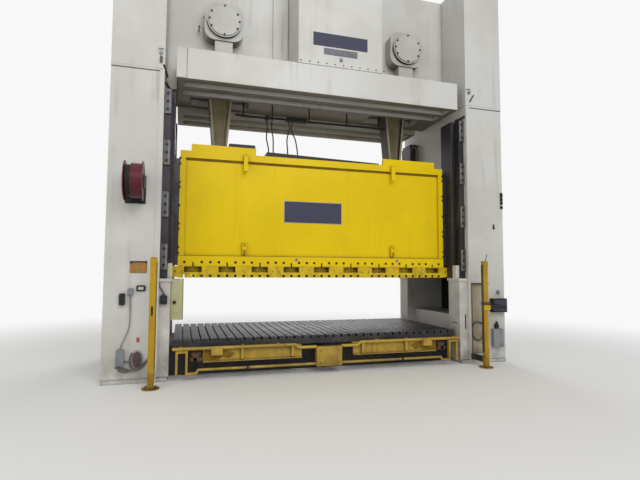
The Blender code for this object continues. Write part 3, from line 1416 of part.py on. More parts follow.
def make_reel():
    """A hose reel turning on a sideways axle, on a bracket at the upright's front."""
    axis = -FRAME_REACH - REEL_STAND
    centre = (REEL_X, axis, REEL_Z)
    inner, outer = REEL_X - REEL_HALF_WIDTH, REEL_X + REEL_HALF_WIDTH
    inside = REEL_FLANGE / 2
    ends = (inner - inside, outer + inside)
    core = cylinder(bmesh.new(), "X", centre, REEL_CORE, *ends, BORE_STEPS)
    drum = add("reel_drum", core, RED, centre)
    discs = bmesh.new()
    cylinder(discs, "X", centre, REEL_RADIUS, inner - REEL_FLANGE, inner, ROUND_STEPS)
    cylinder(discs, "X", centre, REEL_RADIUS, outer, outer + REEL_FLANGE, ROUND_STEPS)
    join(drum, "reel_discs", discs)
    bore = bmesh.new()
    past = REEL_HALF_WIDTH + OVER
    cylinder(bore, "X", centre, REEL_AXLE + RUN, REEL_X - past, REEL_X + past, BORE_STEPS)
    cut(drum, "reel_bore", bore)
    low, high = inner + HOSE_GAP, outer - HOSE_GAP
    hose = cylinder(bmesh.new(), "X", centre, HOSE_WOUND, low, high, ROUND_STEPS)
    wound = add("reel_hose", hose, RUBBER, centre)
    eye = cylinder(bmesh.new(), "X", centre, REEL_CORE + SEAT, low - OVER, high + OVER, BORE_STEPS)
    cut(wound, "hose_eye", eye)
    gap = REEL_FLANGE + SEAT
    back = -FRAME_REACH - SEAT
    ends = (inner - gap - REEL_CHEEK, outer + gap + REEL_CHEEK)
    plate = block(
        bmesh.new(),
        (ends[0], back - REEL_CHEEK, REEL_Z - REEL_RADIUS),
        (ends[1], back, REEL_Z + REEL_RADIUS / 2),
    )
    bracket = add("reel_bracket", plate, DARK_STEEL)
    cheeks = bmesh.new()
    foot = REEL_Z - REEL_FOOT
    for low, high in ((ends[0], inner - gap), (outer + gap, ends[1])):
        block(cheeks, (low, axis - REEL_FOOT / 2, foot), (high, back - REEL_CHEEK / 2, REEL_Z + REEL_FOOT))
    join(bracket, "reel_cheeks", cheeks)
    axle = cylinder(
        bmesh.new(), "X", centre, REEL_AXLE, ends[0] + REEL_CHEEK / 2, ends[1] - REEL_CHEEK / 2, BORE_STEPS
    )
    join(bracket, "reel_axle", axle)


def build_press():
    make_bed()
    make_bolster()
    make_crown()
    make_front_beam()
    make_drive_box()
    for name, side in SIDES.items():
        make_upright(name, side)
        make_side_guard(name, side)
        make_bearing(name, side)
        make_rear_cover(name, side)
        make_eccentric_pin(name, side)
        make_eccentric_gear(name, side)
        make_rod(name, side)
        make_idler(name, side)
        make_front_guard(name, side)
        make_front_bracket(name, side)
        make_curtain_post(name, side)
        for where, end in ENDS.items():
            corner = where + "_" + name
            make_lower_post(corner, side, end)
            make_gib(corner, side, end)
            make_tie_rod(corner, side, end)
            make_liner(corner, side, end)
    make_drive_shaft()
    make_flywheel()
    make_motor()
    make_slide()
    make_slide_plate()
    make_centre_box()
    make_upright_boxes()
    make_reel()


build_press()
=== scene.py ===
# %% [markdown]
# # A straight-side stamping press
#
# The press is a frame as tall as a house: a bed, two uprights and a crown. The crown
# holds a pair of eccentric gears, which lift the wide yellow slide by two rods. The
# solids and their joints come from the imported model. These cells add what makes them
# look like a machine that has worked for years: paint, oil, wear, bolts and pipes.

# %% Load the frame
import math

import bmesh
import bpy
from mathutils import Matrix, Vector


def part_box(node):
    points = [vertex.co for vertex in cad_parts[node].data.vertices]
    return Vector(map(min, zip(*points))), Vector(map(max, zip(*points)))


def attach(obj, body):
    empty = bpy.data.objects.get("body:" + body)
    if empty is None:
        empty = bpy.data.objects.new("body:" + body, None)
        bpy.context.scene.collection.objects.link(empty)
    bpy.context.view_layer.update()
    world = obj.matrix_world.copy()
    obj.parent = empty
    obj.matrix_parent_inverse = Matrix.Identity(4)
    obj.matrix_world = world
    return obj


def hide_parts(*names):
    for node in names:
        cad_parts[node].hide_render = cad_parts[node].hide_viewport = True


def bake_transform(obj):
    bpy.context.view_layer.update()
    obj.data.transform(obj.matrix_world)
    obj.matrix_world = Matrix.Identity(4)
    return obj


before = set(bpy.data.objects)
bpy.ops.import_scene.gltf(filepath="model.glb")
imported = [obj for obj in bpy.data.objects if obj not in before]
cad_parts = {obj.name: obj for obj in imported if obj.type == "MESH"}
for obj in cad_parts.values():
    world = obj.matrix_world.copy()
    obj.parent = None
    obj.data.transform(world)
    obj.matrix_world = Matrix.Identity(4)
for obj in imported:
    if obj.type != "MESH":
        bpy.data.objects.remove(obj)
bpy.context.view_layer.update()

# %% [markdown]
# ## Where things are
#
# The press is symmetric about the middle of its uprights, so depths are given from
# there. `spot` turns a place given from that middle into one in the model's frame.

# %% Places on the press
LEFT, RIGHT = -1, 1
SIDES = {"left": LEFT, "right": RIGHT}
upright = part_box("upright_right")
MIDDLE = (upright[0][1] + upright[1][1]) / 2
FRONT = upright[0][1] - MIDDLE
INNER = upright[0][0]
OUTER = upright[1][0]


def spot(x, y, z):
    return Vector((x, MIDDLE + y, z))


print(f"uprights from {INNER:.2f} to {OUTER:.2f} m, front face {FRONT:.2f} m from the middle")

# %% [markdown]
# ## The camera
#
# The photographer stood a little left of the press and looked up by a few degrees. A
# wide lens takes in the whole front. The camera is turned by yaw and pitch about the
# vertical and sideways axes, and then by a slight roll about its own line of sight.

# %% Camera
LENS = 26.03
CAMERA_YAW = math.radians(16.5)
CAMERA_PITCH = math.radians(3.83)
CAMERA_ROLL = math.radians(0.26)
CAMERA_PLACE = (-2.62, -9.633, 1.85)

lens = bpy.data.cameras.new("camera")
lens.lens = LENS
lens.clip_end = 200
camera = bpy.data.objects.new("camera", lens)
turn = Matrix.Rotation(-CAMERA_YAW, 4, "Z") @ Matrix.Rotation(
    math.pi / 2 + CAMERA_PITCH, 4, "X",
)
roll = Matrix.Rotation(CAMERA_ROLL, 4, "Z")
camera.matrix_world = Matrix.Translation(spot(*CAMERA_PLACE)) @ turn @ roll
bpy.context.scene.collection.objects.link(camera)
bpy.context.scene.camera = camera

# %% [markdown]
# ## Short ways to wire a material
#
# A material is a small network. `Net` adds its nodes and links in one line each, so
# that a finish reads from top to bottom like a recipe.


# %% Wiring helper
class Net:
    def __init__(self, tree):
        self.tree = tree

    def node(self, kind, **settings):
        made = self.tree.nodes.new(kind)
        for key, value in settings.items():
            setattr(made, key, value)
        return made

    def feed(self, socket, value):
        """Links an output to a socket, or sets the socket to a plain value."""
        if isinstance(value, bpy.types.NodeSocket):
            self.tree.links.new(value, socket)
        else:
            socket.default_value = value

    def sums(self, operation, *values, clamp=False):
        made = self.node("ShaderNodeMath", operation=operation, use_clamp=clamp)
        for socket, value in zip(made.inputs, values):
            self.feed(socket, value)
        return made.outputs[0]

    def here(self):
        """The place on the piece, in the piece's own coordinates."""
        return self.node("ShaderNodeTexCoord").outputs["Object"]

    def stretch(self, place, factors):
        """A place that is multiplied by a factor for each of X, Y and Z."""
        made = self.node("ShaderNodeVectorMath", operation="MULTIPLY")
        self.feed(made.inputs[0], place)
        self.feed(made.inputs[1], factors)
        return made.outputs[0]

    def seen(self):
        """One for the camera's rays and for those that a mirror or glass passes on."""
        path = self.node("ShaderNodeLightPath")
        either = self.sums(
            "MAXIMUM", path.outputs["Is Camera Ray"], path.outputs["Is Glossy Ray"],
        )
        return self.sums("MAXIMUM", either, path.outputs["Is Transmission Ray"])

    def axis(self, space, letter):
        """One part of a texture coordinate, such as the place in X."""
        split = self.node("ShaderNodeSeparateXYZ")
        self.feed(split.inputs[0], self.node("ShaderNodeTexCoord").outputs[space])
        return split.outputs[letter]

    def blend(self, share, first, second):
        made = self.node("ShaderNodeMix", data_type="RGBA")
        self.feed(made.inputs["Factor"], share)
        self.feed(made.inputs["A"], first)
        self.feed(made.inputs["B"], second)
        return made.outputs["Result"]

    def noise(self, place, scale, detail=4.0, rough=0.55):
        made = self.node("ShaderNodeTexNoise")
        self.feed(made.inputs["Vector"], place)
        self.feed(made.inputs["Scale"], scale)
        made.inputs["Detail"].default_value = detail
        made.inputs["Roughness"].default_value = rough
        return made.outputs["Fac"]

    def ramp(self, value, low, high, to_low=0.0, to_high=1.0):
        made = self.node("ShaderNodeMapRange", interpolation_type="SMOOTHSTEP")
        settings = (value, low, high, to_low, to_high)
        for socket, setting in zip(made.inputs, settings):
            self.feed(socket, setting)
        return made.outputs[0]


def new_group(name, inputs, outputs):
    """An empty shader group with named number inputs and outputs."""
    tree = bpy.data.node_groups.new(name, "ShaderNodeTree")
    for socket, value in inputs.items():
        made = tree.interface.new_socket(socket, in_out="INPUT", socket_type="NodeSocketFloat")
        made.default_value = value
    for socket in outputs:
        tree.interface.new_socket(socket, in_out="OUTPUT", socket_type="NodeSocketFloat")
    net = Net(tree)
    return net, net.node("NodeGroupInput").outputs, net.node("NodeGroupOutput").inputs


# %% [markdown]
# ## Patchy colour
#
# Nothing painted by hand is one colour all over. `patches` is a soft cloud pattern in
# the piece's own coordinates. The material uses it as a mask between two close tints.

# %% Shared effect: patches
net, given, out = new_group("patches", {"Scale": 1.0, "Low": 0.4, "High": 0.65}, ["Mask"])
place = net.here()
cloud = net.noise(place, given["Scale"], 5.0, 0.6)
net.feed(out["Mask"], net.ramp(cloud, given["Low"], given["High"]))
patches = net.tree

# %% [markdown]
# ## Streaks that run down
#
# Oil and dirty water leave thin vertical tracks on upright faces. The same cloud
# pattern makes them when it is stretched along Z, so that it changes quickly sideways
# and slowly downwards. A second, broad cloud decides where the tracks are strong.

# %% Shared effect: streaks
net, given, out = new_group("streaks", {"Scale": 9.0, "Amount": 0.5}, ["Mask"])
place = net.here()
drawn_out = net.stretch(place, (1.0, 1.0, 0.05))
tracks = net.ramp(net.noise(drawn_out, given["Scale"], 3.0), 0.52, 0.72)
where = net.ramp(net.noise(place, 0.9, 2.0), 0.42, 0.66)
both = net.sums("MULTIPLY", tracks, where)
net.feed(out["Mask"], net.sums("MULTIPLY", both, given["Amount"], clamp=True))
streaks = net.tree

# %% [markdown]
# ## Worn edges
#
# Paint goes first where things knock against it, which is along edges. A Bevel node
# gives the surface direction as if the edges were rounded. Where that differs from the
# true direction there is an edge. Noise breaks the line up into separate chips.

# %% Shared effect: edges
net, given, out = new_group("edges", {"Radius": 0.01, "Amount": 0.5}, ["Mask"])
place = net.here()
rounded = net.node("ShaderNodeBevel", samples=4)
net.feed(rounded.inputs["Radius"], given["Radius"])
straight = net.node("ShaderNodeNewGeometry").outputs["Normal"]
lean = net.node("ShaderNodeVectorMath", operation="DOT_PRODUCT")
net.feed(lean.inputs[0], rounded.outputs[0])
net.feed(lean.inputs[1], straight)
edge = net.ramp(lean.outputs["Value"], 0.995, 0.90)
chips = net.ramp(net.noise(place, 22.0, 5.0, 0.7), 0.45, 0.62)
worn = net.sums("MULTIPLY", edge, chips)
net.feed(out["Mask"], net.sums("MULTIPLY", worn, given["Amount"], clamp=True))
edges = net.tree

# %% [markdown]
# ## Dirt at floor level, dust on ledges and painted shade underneath
#
# Boots, trucks and mops darken the lowest part of a machine. Dust settles on faces that
# look up. Faces that look down are darkened too, partly by oil mist and partly as painted
# shade. This group adds the three: a mask that fades with height, and two that follow
# the surface direction.

# %% Shared effect: grime and painted shade underneath
GRIME_AND_SHADE = {"Height": 0.7, "Foot": 0.5, "Ledge": 0.4, "Under": 0.5}
net, given, out = new_group("grime_and_shade", GRIME_AND_SHADE, ["Mask"])
place = net.here()
split = net.node("ShaderNodeSeparateXYZ")
net.feed(split.inputs[0], place)
low = net.ramp(split.outputs["Z"], 0.0, given["Height"], 1.0, 0.0)
marks = net.ramp(net.noise(place, 4.0, 5.0, 0.65), 0.3, 0.7)
foot = net.sums("MULTIPLY", net.sums("MULTIPLY", low, marks), given["Foot"])
facing = net.node("ShaderNodeSeparateXYZ")
net.feed(facing.inputs[0], net.node("ShaderNodeNewGeometry").outputs["Normal"])
upward = net.ramp(facing.outputs["Z"], 0.4, 0.95)
dusty = net.ramp(net.noise(place, 7.0, 4.0), 0.2, 0.6)
ledge = net.sums("MULTIPLY", net.sums("MULTIPLY", upward, dusty), given["Ledge"])
# Faces that look down get darker: partly oil mist, partly painted shade.
under = net.sums("MULTIPLY", net.ramp(facing.outputs["Z"], -0.5, -0.95), given["Under"])
net.feed(out["Mask"], net.sums("ADD", net.sums("ADD", foot, ledge), under, clamp=True))
grime_and_shade = net.tree

# %% [markdown]
# ## Dirt and painted shade in corners
#
# Oil and dust stay where a rag doesn't reach: in holes, in slots and along welds, and the
# same mask paints the shade that falls in those closed-in places. An Ambient Occlusion
# node measures how far a point is closed in by the piece's own shape, and noise makes the
# deposit uneven.

# %% Shared effect: dirt and painted shade in corners
net, given, out = new_group("corners", {"Reach": 0.08, "Amount": 0.5}, ["Mask"])
place = net.here()
# The Ambient Occlusion mask darkens closed-in places: dirt there, and painted shade too.
closed = net.node("ShaderNodeAmbientOcclusion", samples=4, only_local=True)
net.feed(closed.inputs["Distance"], given["Reach"])
deep = net.ramp(closed.outputs["AO"], 0.90, 0.40)
uneven = net.ramp(net.noise(place, 6.0, 4.0, 0.6), 0.15, 0.6, 0.4, 1.0)
net.feed(out["Mask"], net.sums("MULTIPLY", net.sums("MULTIPLY", deep, uneven), given["Amount"]))
corners = net.tree

# %% [markdown]
# ## Fine relief
#
# Sprayed enamel dries with a slight orange-peel skin, castings keep the grain of the
# sand, and a machined face has lines. `grain` is a fine cloud pattern for a Bump node.
# `Along` squeezes it sideways, which turns grains into brushed lines.

# %% Shared effect: grain
net, given, out = new_group("grain", {"Scale": 60.0, "Along": 1.0}, ["Height"])
place = net.here()
shape = net.node("ShaderNodeCombineXYZ")
net.feed(shape.inputs[0], given["Along"])
net.feed(shape.inputs[1], 1.0)
net.feed(shape.inputs[2], 1.0)
squeezed = net.stretch(place, shape.outputs[0])
net.feed(out["Height"], net.noise(squeezed, given["Scale"], 3.0, 0.6))
grain = net.tree


# %% [markdown]
# ## Painted and bare finishes
#
# Every finish is built by one function, from the ground up as a painter would: the
# main tint and a close second tint, then streaks, then grime with painted shade on faces
# that look down and in corners, and last the bare or rusty colour along the edges.
# Streaks, dirt and the painted shade make the surface rougher as well as darker. Numbers
# that are the same all over go straight on the shader's sockets. `LOOK` holds the usual
# settings: the size of each pattern, how strong each kind of dirt, painted shade and wear
# is, and how the surface shines. A finish gives only the settings that differ.


# %% Finish builder
def effect(net, tree, **values):
    made = net.node("ShaderNodeGroup", node_tree=tree)
    for key, value in values.items():
        made.inputs[key.replace("_", " ")].default_value = value
    return made.outputs[0]


LOOK = {
    "rough": 0.5, "metal": 0.0, "coat": 0.0, "shine": 0.4, "vary": 0.08,
    "patch": 3.0, "track": 9.0, "streak": 0.3,
    "reach": 0.7, "foot": 0.0, "ledge": 0.35, "under": 0.5,
    "crevice": 0.08, "corner": 0.5, "edge": 0.008, "wear": 0.5,
    "bump": 0.1, "depth": 0.002, "grain": 45.0, "along": 1.0,
}


def finish(name, tint, second, dirt_and_shade, bare, **own):
    """A finish from its two tints, its dirt and painted shade, and what shows where it has worn
    off.
    """
    look = {**LOOK, **own}
    made = bpy.data.materials.new(name)
    made.use_nodes = True
    made.diffuse_color = (*tint, 1.0)
    net = Net(made.node_tree)
    shader = made.node_tree.nodes["Principled BSDF"]
    clouds = effect(net, patches, Scale=look["patch"])
    colour = net.blend(clouds, (*tint, 1.0), (*second, 1.0))
    track = effect(net, streaks, Scale=look["track"], Amount=look["streak"])
    colour = net.blend(track, colour, (*dirt_and_shade, 1.0))
    soil_and_shade = effect(
        net, grime_and_shade, Height=look["reach"], Foot=look["foot"], Ledge=look["ledge"],
        Under=look["under"],
    )
    # Corner darkening is dirt and painted shade together.
    held_dirt_and_shade = effect(net, corners, Reach=look["crevice"], Amount=look["corner"])
    soil_and_shade = net.sums("MAXIMUM", soil_and_shade, held_dirt_and_shade)
    colour = net.blend(soil_and_shade, colour, (*dirt_and_shade, 1.0))
    chip = effect(net, edges, Radius=look["edge"], Amount=look["wear"])
    colour = net.blend(chip, colour, (*bare, 1.0))
    net.feed(shader.inputs["Base Color"], colour)
    soiled_and_shaded = net.sums("MULTIPLY", net.sums("MAXIMUM", track, soil_and_shade), 0.3)
    varied = net.sums("MULTIPLY_ADD", clouds, look["vary"], look["rough"])
    net.feed(shader.inputs["Roughness"], net.sums("ADD", varied, soiled_and_shaded, clamp=True))
    shader.inputs["Metallic"].default_value = look["metal"]
    shader.inputs["Specular IOR Level"].default_value = look["shine"]
    shader.inputs["Coat Weight"].default_value = look["coat"]
    shader.inputs["Coat Roughness"].default_value = 0.15
    relief = net.node("ShaderNodeBump")
    relief.inputs["Strength"].default_value = look["bump"]
    relief.inputs["Distance"].default_value = look["depth"]
    height = effect(net, grain, Scale=look["grain"], Along=look["along"])
    net.feed(relief.inputs["Height"], height)
    net.feed(shader.inputs["Normal"], relief.outputs[0])
    return made


# %% [markdown]
# ## The paints
#
# The slide is a deep, glossy safety yellow. The frame is an off-white that has gone
# slightly warm, brighter on the crown than near the floor. The rails in front are an
# older, dirtier yellow, and the rods are a dull cream that oil has turned olive.

# %% Paints
RUST = (0.16, 0.065, 0.03)
SOOT = (0.05, 0.045, 0.04)
PRIMER = (0.32, 0.30, 0.26)

slide_yellow = finish(
    "slide_yellow",
    (0.80, 0.57, 0.004), (0.74, 0.52, 0.004), (0.22, 0.13, 0.008), (0.35, 0.27, 0.10),
    rough=0.33, coat=0.04, patch=0.7, streak=0.12, ledge=0.45, wear=0.35, bump=0.04,
    corner=0.75, crevice=0.07, under=0.6, shine=0.12,
)
safety_yellow = finish(
    "safety_yellow",
    (0.50, 0.33, 0.035), (0.36, 0.23, 0.030), (0.075, 0.050, 0.025), (0.14, 0.11, 0.08),
    rough=0.45, track=14.0, streak=0.65, foot=0.75, reach=0.55, wear=0.9, edge=0.010, bump=0.15,
    corner=0.8, crevice=0.05, under=0.8,
)
curtain_yellow = finish(
    "curtain_yellow",
    (0.47, 0.285, 0.010), (0.37, 0.22, 0.014), (0.10, 0.060, 0.020), (0.20, 0.17, 0.12),
    rough=0.42, patch=2.5, streak=0.4, foot=0.95, reach=0.5, wear=0.6, bump=0.06, shine=0.2,
)
cream_paint = finish(
    "cream_paint",
    (0.600, 0.595, 0.570), (0.530, 0.515, 0.470), (0.135, 0.118, 0.090), PRIMER,
    rough=0.38, coat=0.12, patch=0.55, track=6.0, foot=0.5, reach=0.9, wear=0.35, bump=0.06,
    under=0.95, corner=0.55, crevice=0.1,
)
bearing_cream = finish(
    "bearing_cream",
    (0.51, 0.505, 0.475), (0.45, 0.440, 0.405), (0.135, 0.118, 0.090), PRIMER,
    rough=0.42, coat=0.08, patch=0.8, track=6.0, wear=0.35, bump=0.06, under=0.9, corner=0.6,
)
post_paint = finish(
    "post_paint",
    (0.60, 0.59, 0.555), (0.50, 0.48, 0.44), (0.10, 0.08, 0.06), RUST,
    patch=1.6, track=8.0, streak=0.45, foot=0.65, reach=0.9, wear=0.7, under=0.6,
)
rod_cream = finish(
    "rod_cream",
    (0.46, 0.42, 0.29), (0.34, 0.30, 0.18), (0.10, 0.08, 0.04), PRIMER,
    patch=2.0, streak=0.6, bump=0.12, corner=0.6, under=0.3,
)
web_olive = finish(
    "web_olive",
    (0.30, 0.255, 0.145), (0.20, 0.165, 0.09), SOOT, PRIMER,
    rough=0.55, patch=2.0, streak=0.5, bump=0.2,
)
plate_yellow = finish(
    "plate_yellow",
    (0.68, 0.48, 0.010), (0.50, 0.33, 0.016), (0.045, 0.028, 0.012), (0.20, 0.14, 0.06),
    rough=0.38, coat=0.1, patch=7.0, track=16.0, streak=0.5, ledge=0.5, wear=0.9, edge=0.006,
    bump=0.08, corner=1.0, crevice=0.09, shine=0.15,
)
shield_lime = finish(
    "shield_lime",
    (0.58, 0.58, 0.33), (0.50, 0.50, 0.25), (0.14, 0.12, 0.06), PRIMER,
    rough=0.45, patch=2.5, streak=0.35, foot=0.4, reach=1.2, bump=0.05,
)
print("paints made")

# %% [markdown]
# ## Steel, iron and rubber
#
# Slideways and the bolster are bare steel under a film of black oil, so they are dark
# but shiny. Castings are duller and grainier. Bolts are blackened. `overlaid` gives a
# finish a second colour on some faces: oily steel where the slide rubs a gib, painted
# shade with some dirt under the rim of a round cover, and painted shade on the flanks
# of a rod.

# %% Steel, iron and rubber
liner_steel = finish(
    "liner_steel",
    (0.060, 0.050, 0.053), (0.042, 0.035, 0.037), (0.03, 0.022, 0.02), (0.20, 0.17, 0.16),
    rough=0.35, metal=0.5, streak=0.6, wear=0.7, bump=0.12, shine=0.25,
)
dark_steel = finish(
    "dark_steel",
    (0.036, 0.034, 0.039), (0.060, 0.056, 0.058), (0.030, 0.024, 0.020), (0.20, 0.19, 0.19),
    rough=0.38, metal=0.55, patch=2.2, track=16.0, streak=0.7, foot=0.3, ledge=0.3, wear=0.8,
    bump=0.15, grain=30.0, shine=0.2,
)
# A pale steel for the lips of the gib blocks, which is a painted highlight.
lip_highlight_steel = finish(
    "lip_highlight_steel",
    (0.23, 0.225, 0.24), (0.15, 0.145, 0.155), (0.04, 0.035, 0.03), (0.30, 0.29, 0.28),
    rough=0.4, patch=9.0, streak=0.4, wear=0.3, bump=0.05, shine=0.25,
)
block_steel = finish(
    "block_steel",
    (0.105, 0.102, 0.110), (0.080, 0.077, 0.083), (0.04, 0.035, 0.03), (0.30, 0.29, 0.28),
    rough=0.4, metal=0.6, streak=0.6, wear=0.8, bump=0.12,
)
bolster_steel = finish(
    "bolster_steel",
    (0.042, 0.041, 0.043), (0.075, 0.071, 0.070), (0.035, 0.025, 0.020), (0.34, 0.33, 0.32),
    rough=0.42, metal=0.6, patch=1.6, streak=0.5, foot=0.3, ledge=0.25, wear=1.0, bump=0.15,
    grain=18.0, along=9.0, shine=0.25,
)
machined_steel = finish(
    "machined_steel",
    (0.42, 0.41, 0.40), (0.34, 0.33, 0.31), (0.10, 0.08, 0.06), (0.55, 0.54, 0.53),
    rough=0.28, metal=1.0, wear=0.4, grain=30.0, along=12.0,
)
cast_iron = finish(
    "cast_iron",
    (0.13, 0.13, 0.135), (0.09, 0.085, 0.085), (0.04, 0.03, 0.025), (0.36, 0.35, 0.34),
    metal=0.7, streak=0.2, wear=0.9, bump=0.35, grain=70.0,
)
bolt_black = finish(
    "bolt_black",
    (0.022, 0.021, 0.022), (0.040, 0.034, 0.030), (0.05, 0.03, 0.02), (0.16, 0.15, 0.15),
    rough=0.35, metal=0.7, patch=8.0, streak=0.2, wear=0.6, edge=0.004,
)
hose_rubber = finish(
    "hose_rubber",
    (0.018, 0.018, 0.019), (0.028, 0.027, 0.027), (0.07, 0.065, 0.06), (0.05, 0.05, 0.05),
    rough=0.55, patch=6.0, streak=0.2, foot=0.3, ledge=0.5, wear=0.3, bump=0.25, grain=120.0,
)
black_paint = finish(
    "black_paint",
    (0.010, 0.010, 0.012), (0.015, 0.015, 0.017), (0.09, 0.08, 0.07), (0.20, 0.19, 0.18),
    rough=0.42, streak=0.25, foot=0.5, bump=0.08, shine=0.3,
)
grey_enclosure = finish(
    "grey_enclosure",
    (0.26, 0.28, 0.29), (0.21, 0.22, 0.23), (0.10, 0.09, 0.07), (0.42, 0.41, 0.40),
    rough=0.45, patch=4.0, streak=0.35, foot=0.6, bump=0.30, grain=90.0,
)
reel_red = finish(
    "reel_red",
    (0.105, 0.002, 0.013), (0.075, 0.002, 0.010), (0.06, 0.03, 0.03), (0.18, 0.13, 0.12),
    rough=0.35, coat=0.2, patch=4.0, wear=0.7, bump=0.06, shine=0.25,
)
rusty_steel = finish(
    "rusty_steel",
    (0.13, 0.068, 0.034), (0.070, 0.042, 0.026), (0.04, 0.025, 0.018), (0.30, 0.16, 0.08),
    rough=0.75, metal=0.1, patch=6.0, streak=0.5, foot=0.4, wear=0.6, bump=0.5, grain=60.0,
)

def overlaid(source, name, tint, mask):
    """A copy of a finish with a second colour where a mask says."""
    made = source.copy()
    made.name = name
    net = Net(made.node_tree)
    shader = made.node_tree.nodes["Principled BSDF"]
    painted = shader.inputs["Base Color"].links[0].from_socket
    net.feed(shader.inputs["Base Color"], net.blend(mask(net), painted, (*tint, 1.0)))
    return made


SLIDEWAY_REACH = 2.8005


def inner_face(net):
    """A mask for surfaces near the middle of the press."""
    return net.sums("LESS_THAN", net.sums("ABSOLUTE", net.axis("Object", "X")), SLIDEWAY_REACH)


def lower_rim_shade(net):
    """A mask for the lower half of a round rim, where painted shade goes."""
    level = net.ramp(net.axis("Normal", "Z"), 0.15, -0.02)
    upright = net.ramp(net.sums("ABSOLUTE", net.axis("Normal", "Y")), 0.7, 0.4)
    return net.sums("MULTIPLY", level, upright)


def shaded_flank(net):
    """A mask for faces that look left or right, which get painted shade."""
    return net.ramp(net.sums("ABSOLUTE", net.axis("Normal", "X")), 0.80, 0.95)


gib_steel = overlaid(dark_steel, "gib_steel", (0.060, 0.056, 0.066), inner_face)
# The dark lower half of each cover's rim is painted shade, with some dirt.
cover_paint_shaded_rim = overlaid(bearing_cream, "cover_paint_shaded_rim", (0.035, 0.030, 0.026), lower_rim_shade)
# The dark flanks of each rod are painted shade.
rod_paint_shaded_flanks = overlaid(rod_cream, "rod_paint_shaded_flanks", (0.060, 0.052, 0.044), shaded_flank)
print("metals made")

# %% [markdown]
# ## Small plates, lenses and panels
#
# The signs on the real machine carry words and marks, which this model leaves off.
# Their plates stay, bare, in their own colours, such as navy, orange and pale grey.

# %% Plates, lenses and panels
navy_plate = finish(
    "navy_plate",
    (0.036, 0.037, 0.070), (0.045, 0.046, 0.080), (0.12, 0.11, 0.10), (0.30, 0.30, 0.30),
    rough=0.6, patch=2.0, streak=0.15, wear=0.4, bump=0.03,
)
pale_plate = finish(
    "pale_plate",
    (0.55, 0.55, 0.54), (0.47, 0.47, 0.45), (0.22, 0.20, 0.17), (0.25, 0.24, 0.22),
    rough=0.4, bump=0.03,
)
orange_plate = finish(
    "orange_plate",
    (0.37, 0.185, 0.028), (0.22, 0.13, 0.035), (0.18, 0.11, 0.05), (0.40, 0.34, 0.26),
    rough=0.45, patch=14.0, streak=0.4, wear=0.8, bump=0.04,
)
panel_tan = finish(
    "panel_tan",
    (0.42, 0.38, 0.27), (0.34, 0.30, 0.20), (0.12, 0.09, 0.05), (0.22, 0.12, 0.05),
    patch=2.0, streak=0.45, foot=0.8, reach=0.9, wear=0.7, bump=0.08,
)
slate_plate = finish(
    "slate_plate",
    (0.17, 0.165, 0.20), (0.12, 0.12, 0.15), (0.20, 0.18, 0.16), (0.35, 0.34, 0.33),
    rough=0.55, patch=9.0, streak=0.2, wear=0.4, bump=0.03,
)
dull_brown = finish(
    "dull_brown",
    (0.095, 0.055, 0.058), (0.060, 0.036, 0.036), (0.03, 0.025, 0.02), (0.24, 0.21, 0.18),
    rough=0.6, patch=9.0, foot=0.2, wear=0.4,
)
conduit_grey = finish(
    "conduit_grey",
    (0.115, 0.120, 0.112), (0.080, 0.084, 0.078), (0.04, 0.035, 0.03), (0.25, 0.25, 0.24),
    rough=0.6, patch=8.0, streak=0.2, foot=0.3, wear=0.3,
)
step_brown = finish(
    "step_brown",
    (0.24, 0.135, 0.006), (0.16, 0.090, 0.008), (0.06, 0.035, 0.01), (0.30, 0.20, 0.02),
    rough=0.55, patch=5.0, wear=0.2, bump=0.05, shine=0.2,
)
lens_amber = finish(
    "lens_amber",
    (0.085, 0.050, 0.010), (0.060, 0.036, 0.010), SOOT, SOOT,
    rough=0.25, wear=0.0, bump=0.0, patch=1.2,
)
tag_red = finish(
    "tag_red",
    (0.42, 0.10, 0.07), (0.30, 0.08, 0.06), (0.20, 0.10, 0.08), (0.60, 0.55, 0.50),
    patch=9.0, streak=0.2, wear=0.4, bump=0.03,
)

# %% [markdown]
# ## Dress the solids
#
# The solids already have the right shapes, so each only needs its finish. The first
# words of a node's name pick it. A node that is left without one would stop here.

# %% Finishes of the solids
DRESS = {
    "slide_liner": liner_steel,
    "slide_plate": plate_yellow,
    "slide": slide_yellow,
    "crown": cream_paint,
    "upright": cream_paint,
    "bearing_cover": cover_paint_shaded_rim,
    "bearing": bearing_cream,
    "rear_cover": cream_paint,
    "belt_guard": cream_paint,
    "lower_post": post_paint,
    "gib": gib_steel,
    "bed": dark_steel,
    "bolster": bolster_steel,
    "tie_rod": machined_steel,
    "eccentric_pin": machined_steel,
    "eccentric_gear": cast_iron,
    "idler_gear": cast_iron,
    "drive_shaft": cast_iron,
    "flywheel": cast_iron,
    "motor_pulley": cast_iron,
    "motor": grey_enclosure,
    "drive_belt": hose_rubber,
    "connecting_rod": rod_paint_shaded_flanks,
    "side_guard": black_paint,
    "control_box": black_paint,
    "junction_box": grey_enclosure,
    "valve_box": grey_enclosure,
    "front": safety_yellow,
    "curtain": curtain_yellow,
    "reel_bracket": black_paint,
    "reel_drum": reel_red,
    "reel_hose": hose_rubber,
}
for name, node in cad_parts.items():
    start = next(words for words in DRESS if name.startswith(words))
    node.data.materials.clear()
    node.data.materials.append(DRESS[start])
print(len(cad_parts), "solids dressed")

# %% [markdown]
# ## Shapes for the small pieces
#
# A small piece is a mesh of simple closed shapes: boxes, round bars and bolt heads,
# with softened edges. `Shapes` collects them, and `fit` turns the collection into one
# object with a finish, riding on the body that carries it.


# %% Shape helper
AXES = {
    "X": Matrix.Rotation(math.pi / 2, 4, "Y"),
    "Y": Matrix.Rotation(math.pi / 2, 4, "X"),
    "Z": Matrix.Identity(4),
}


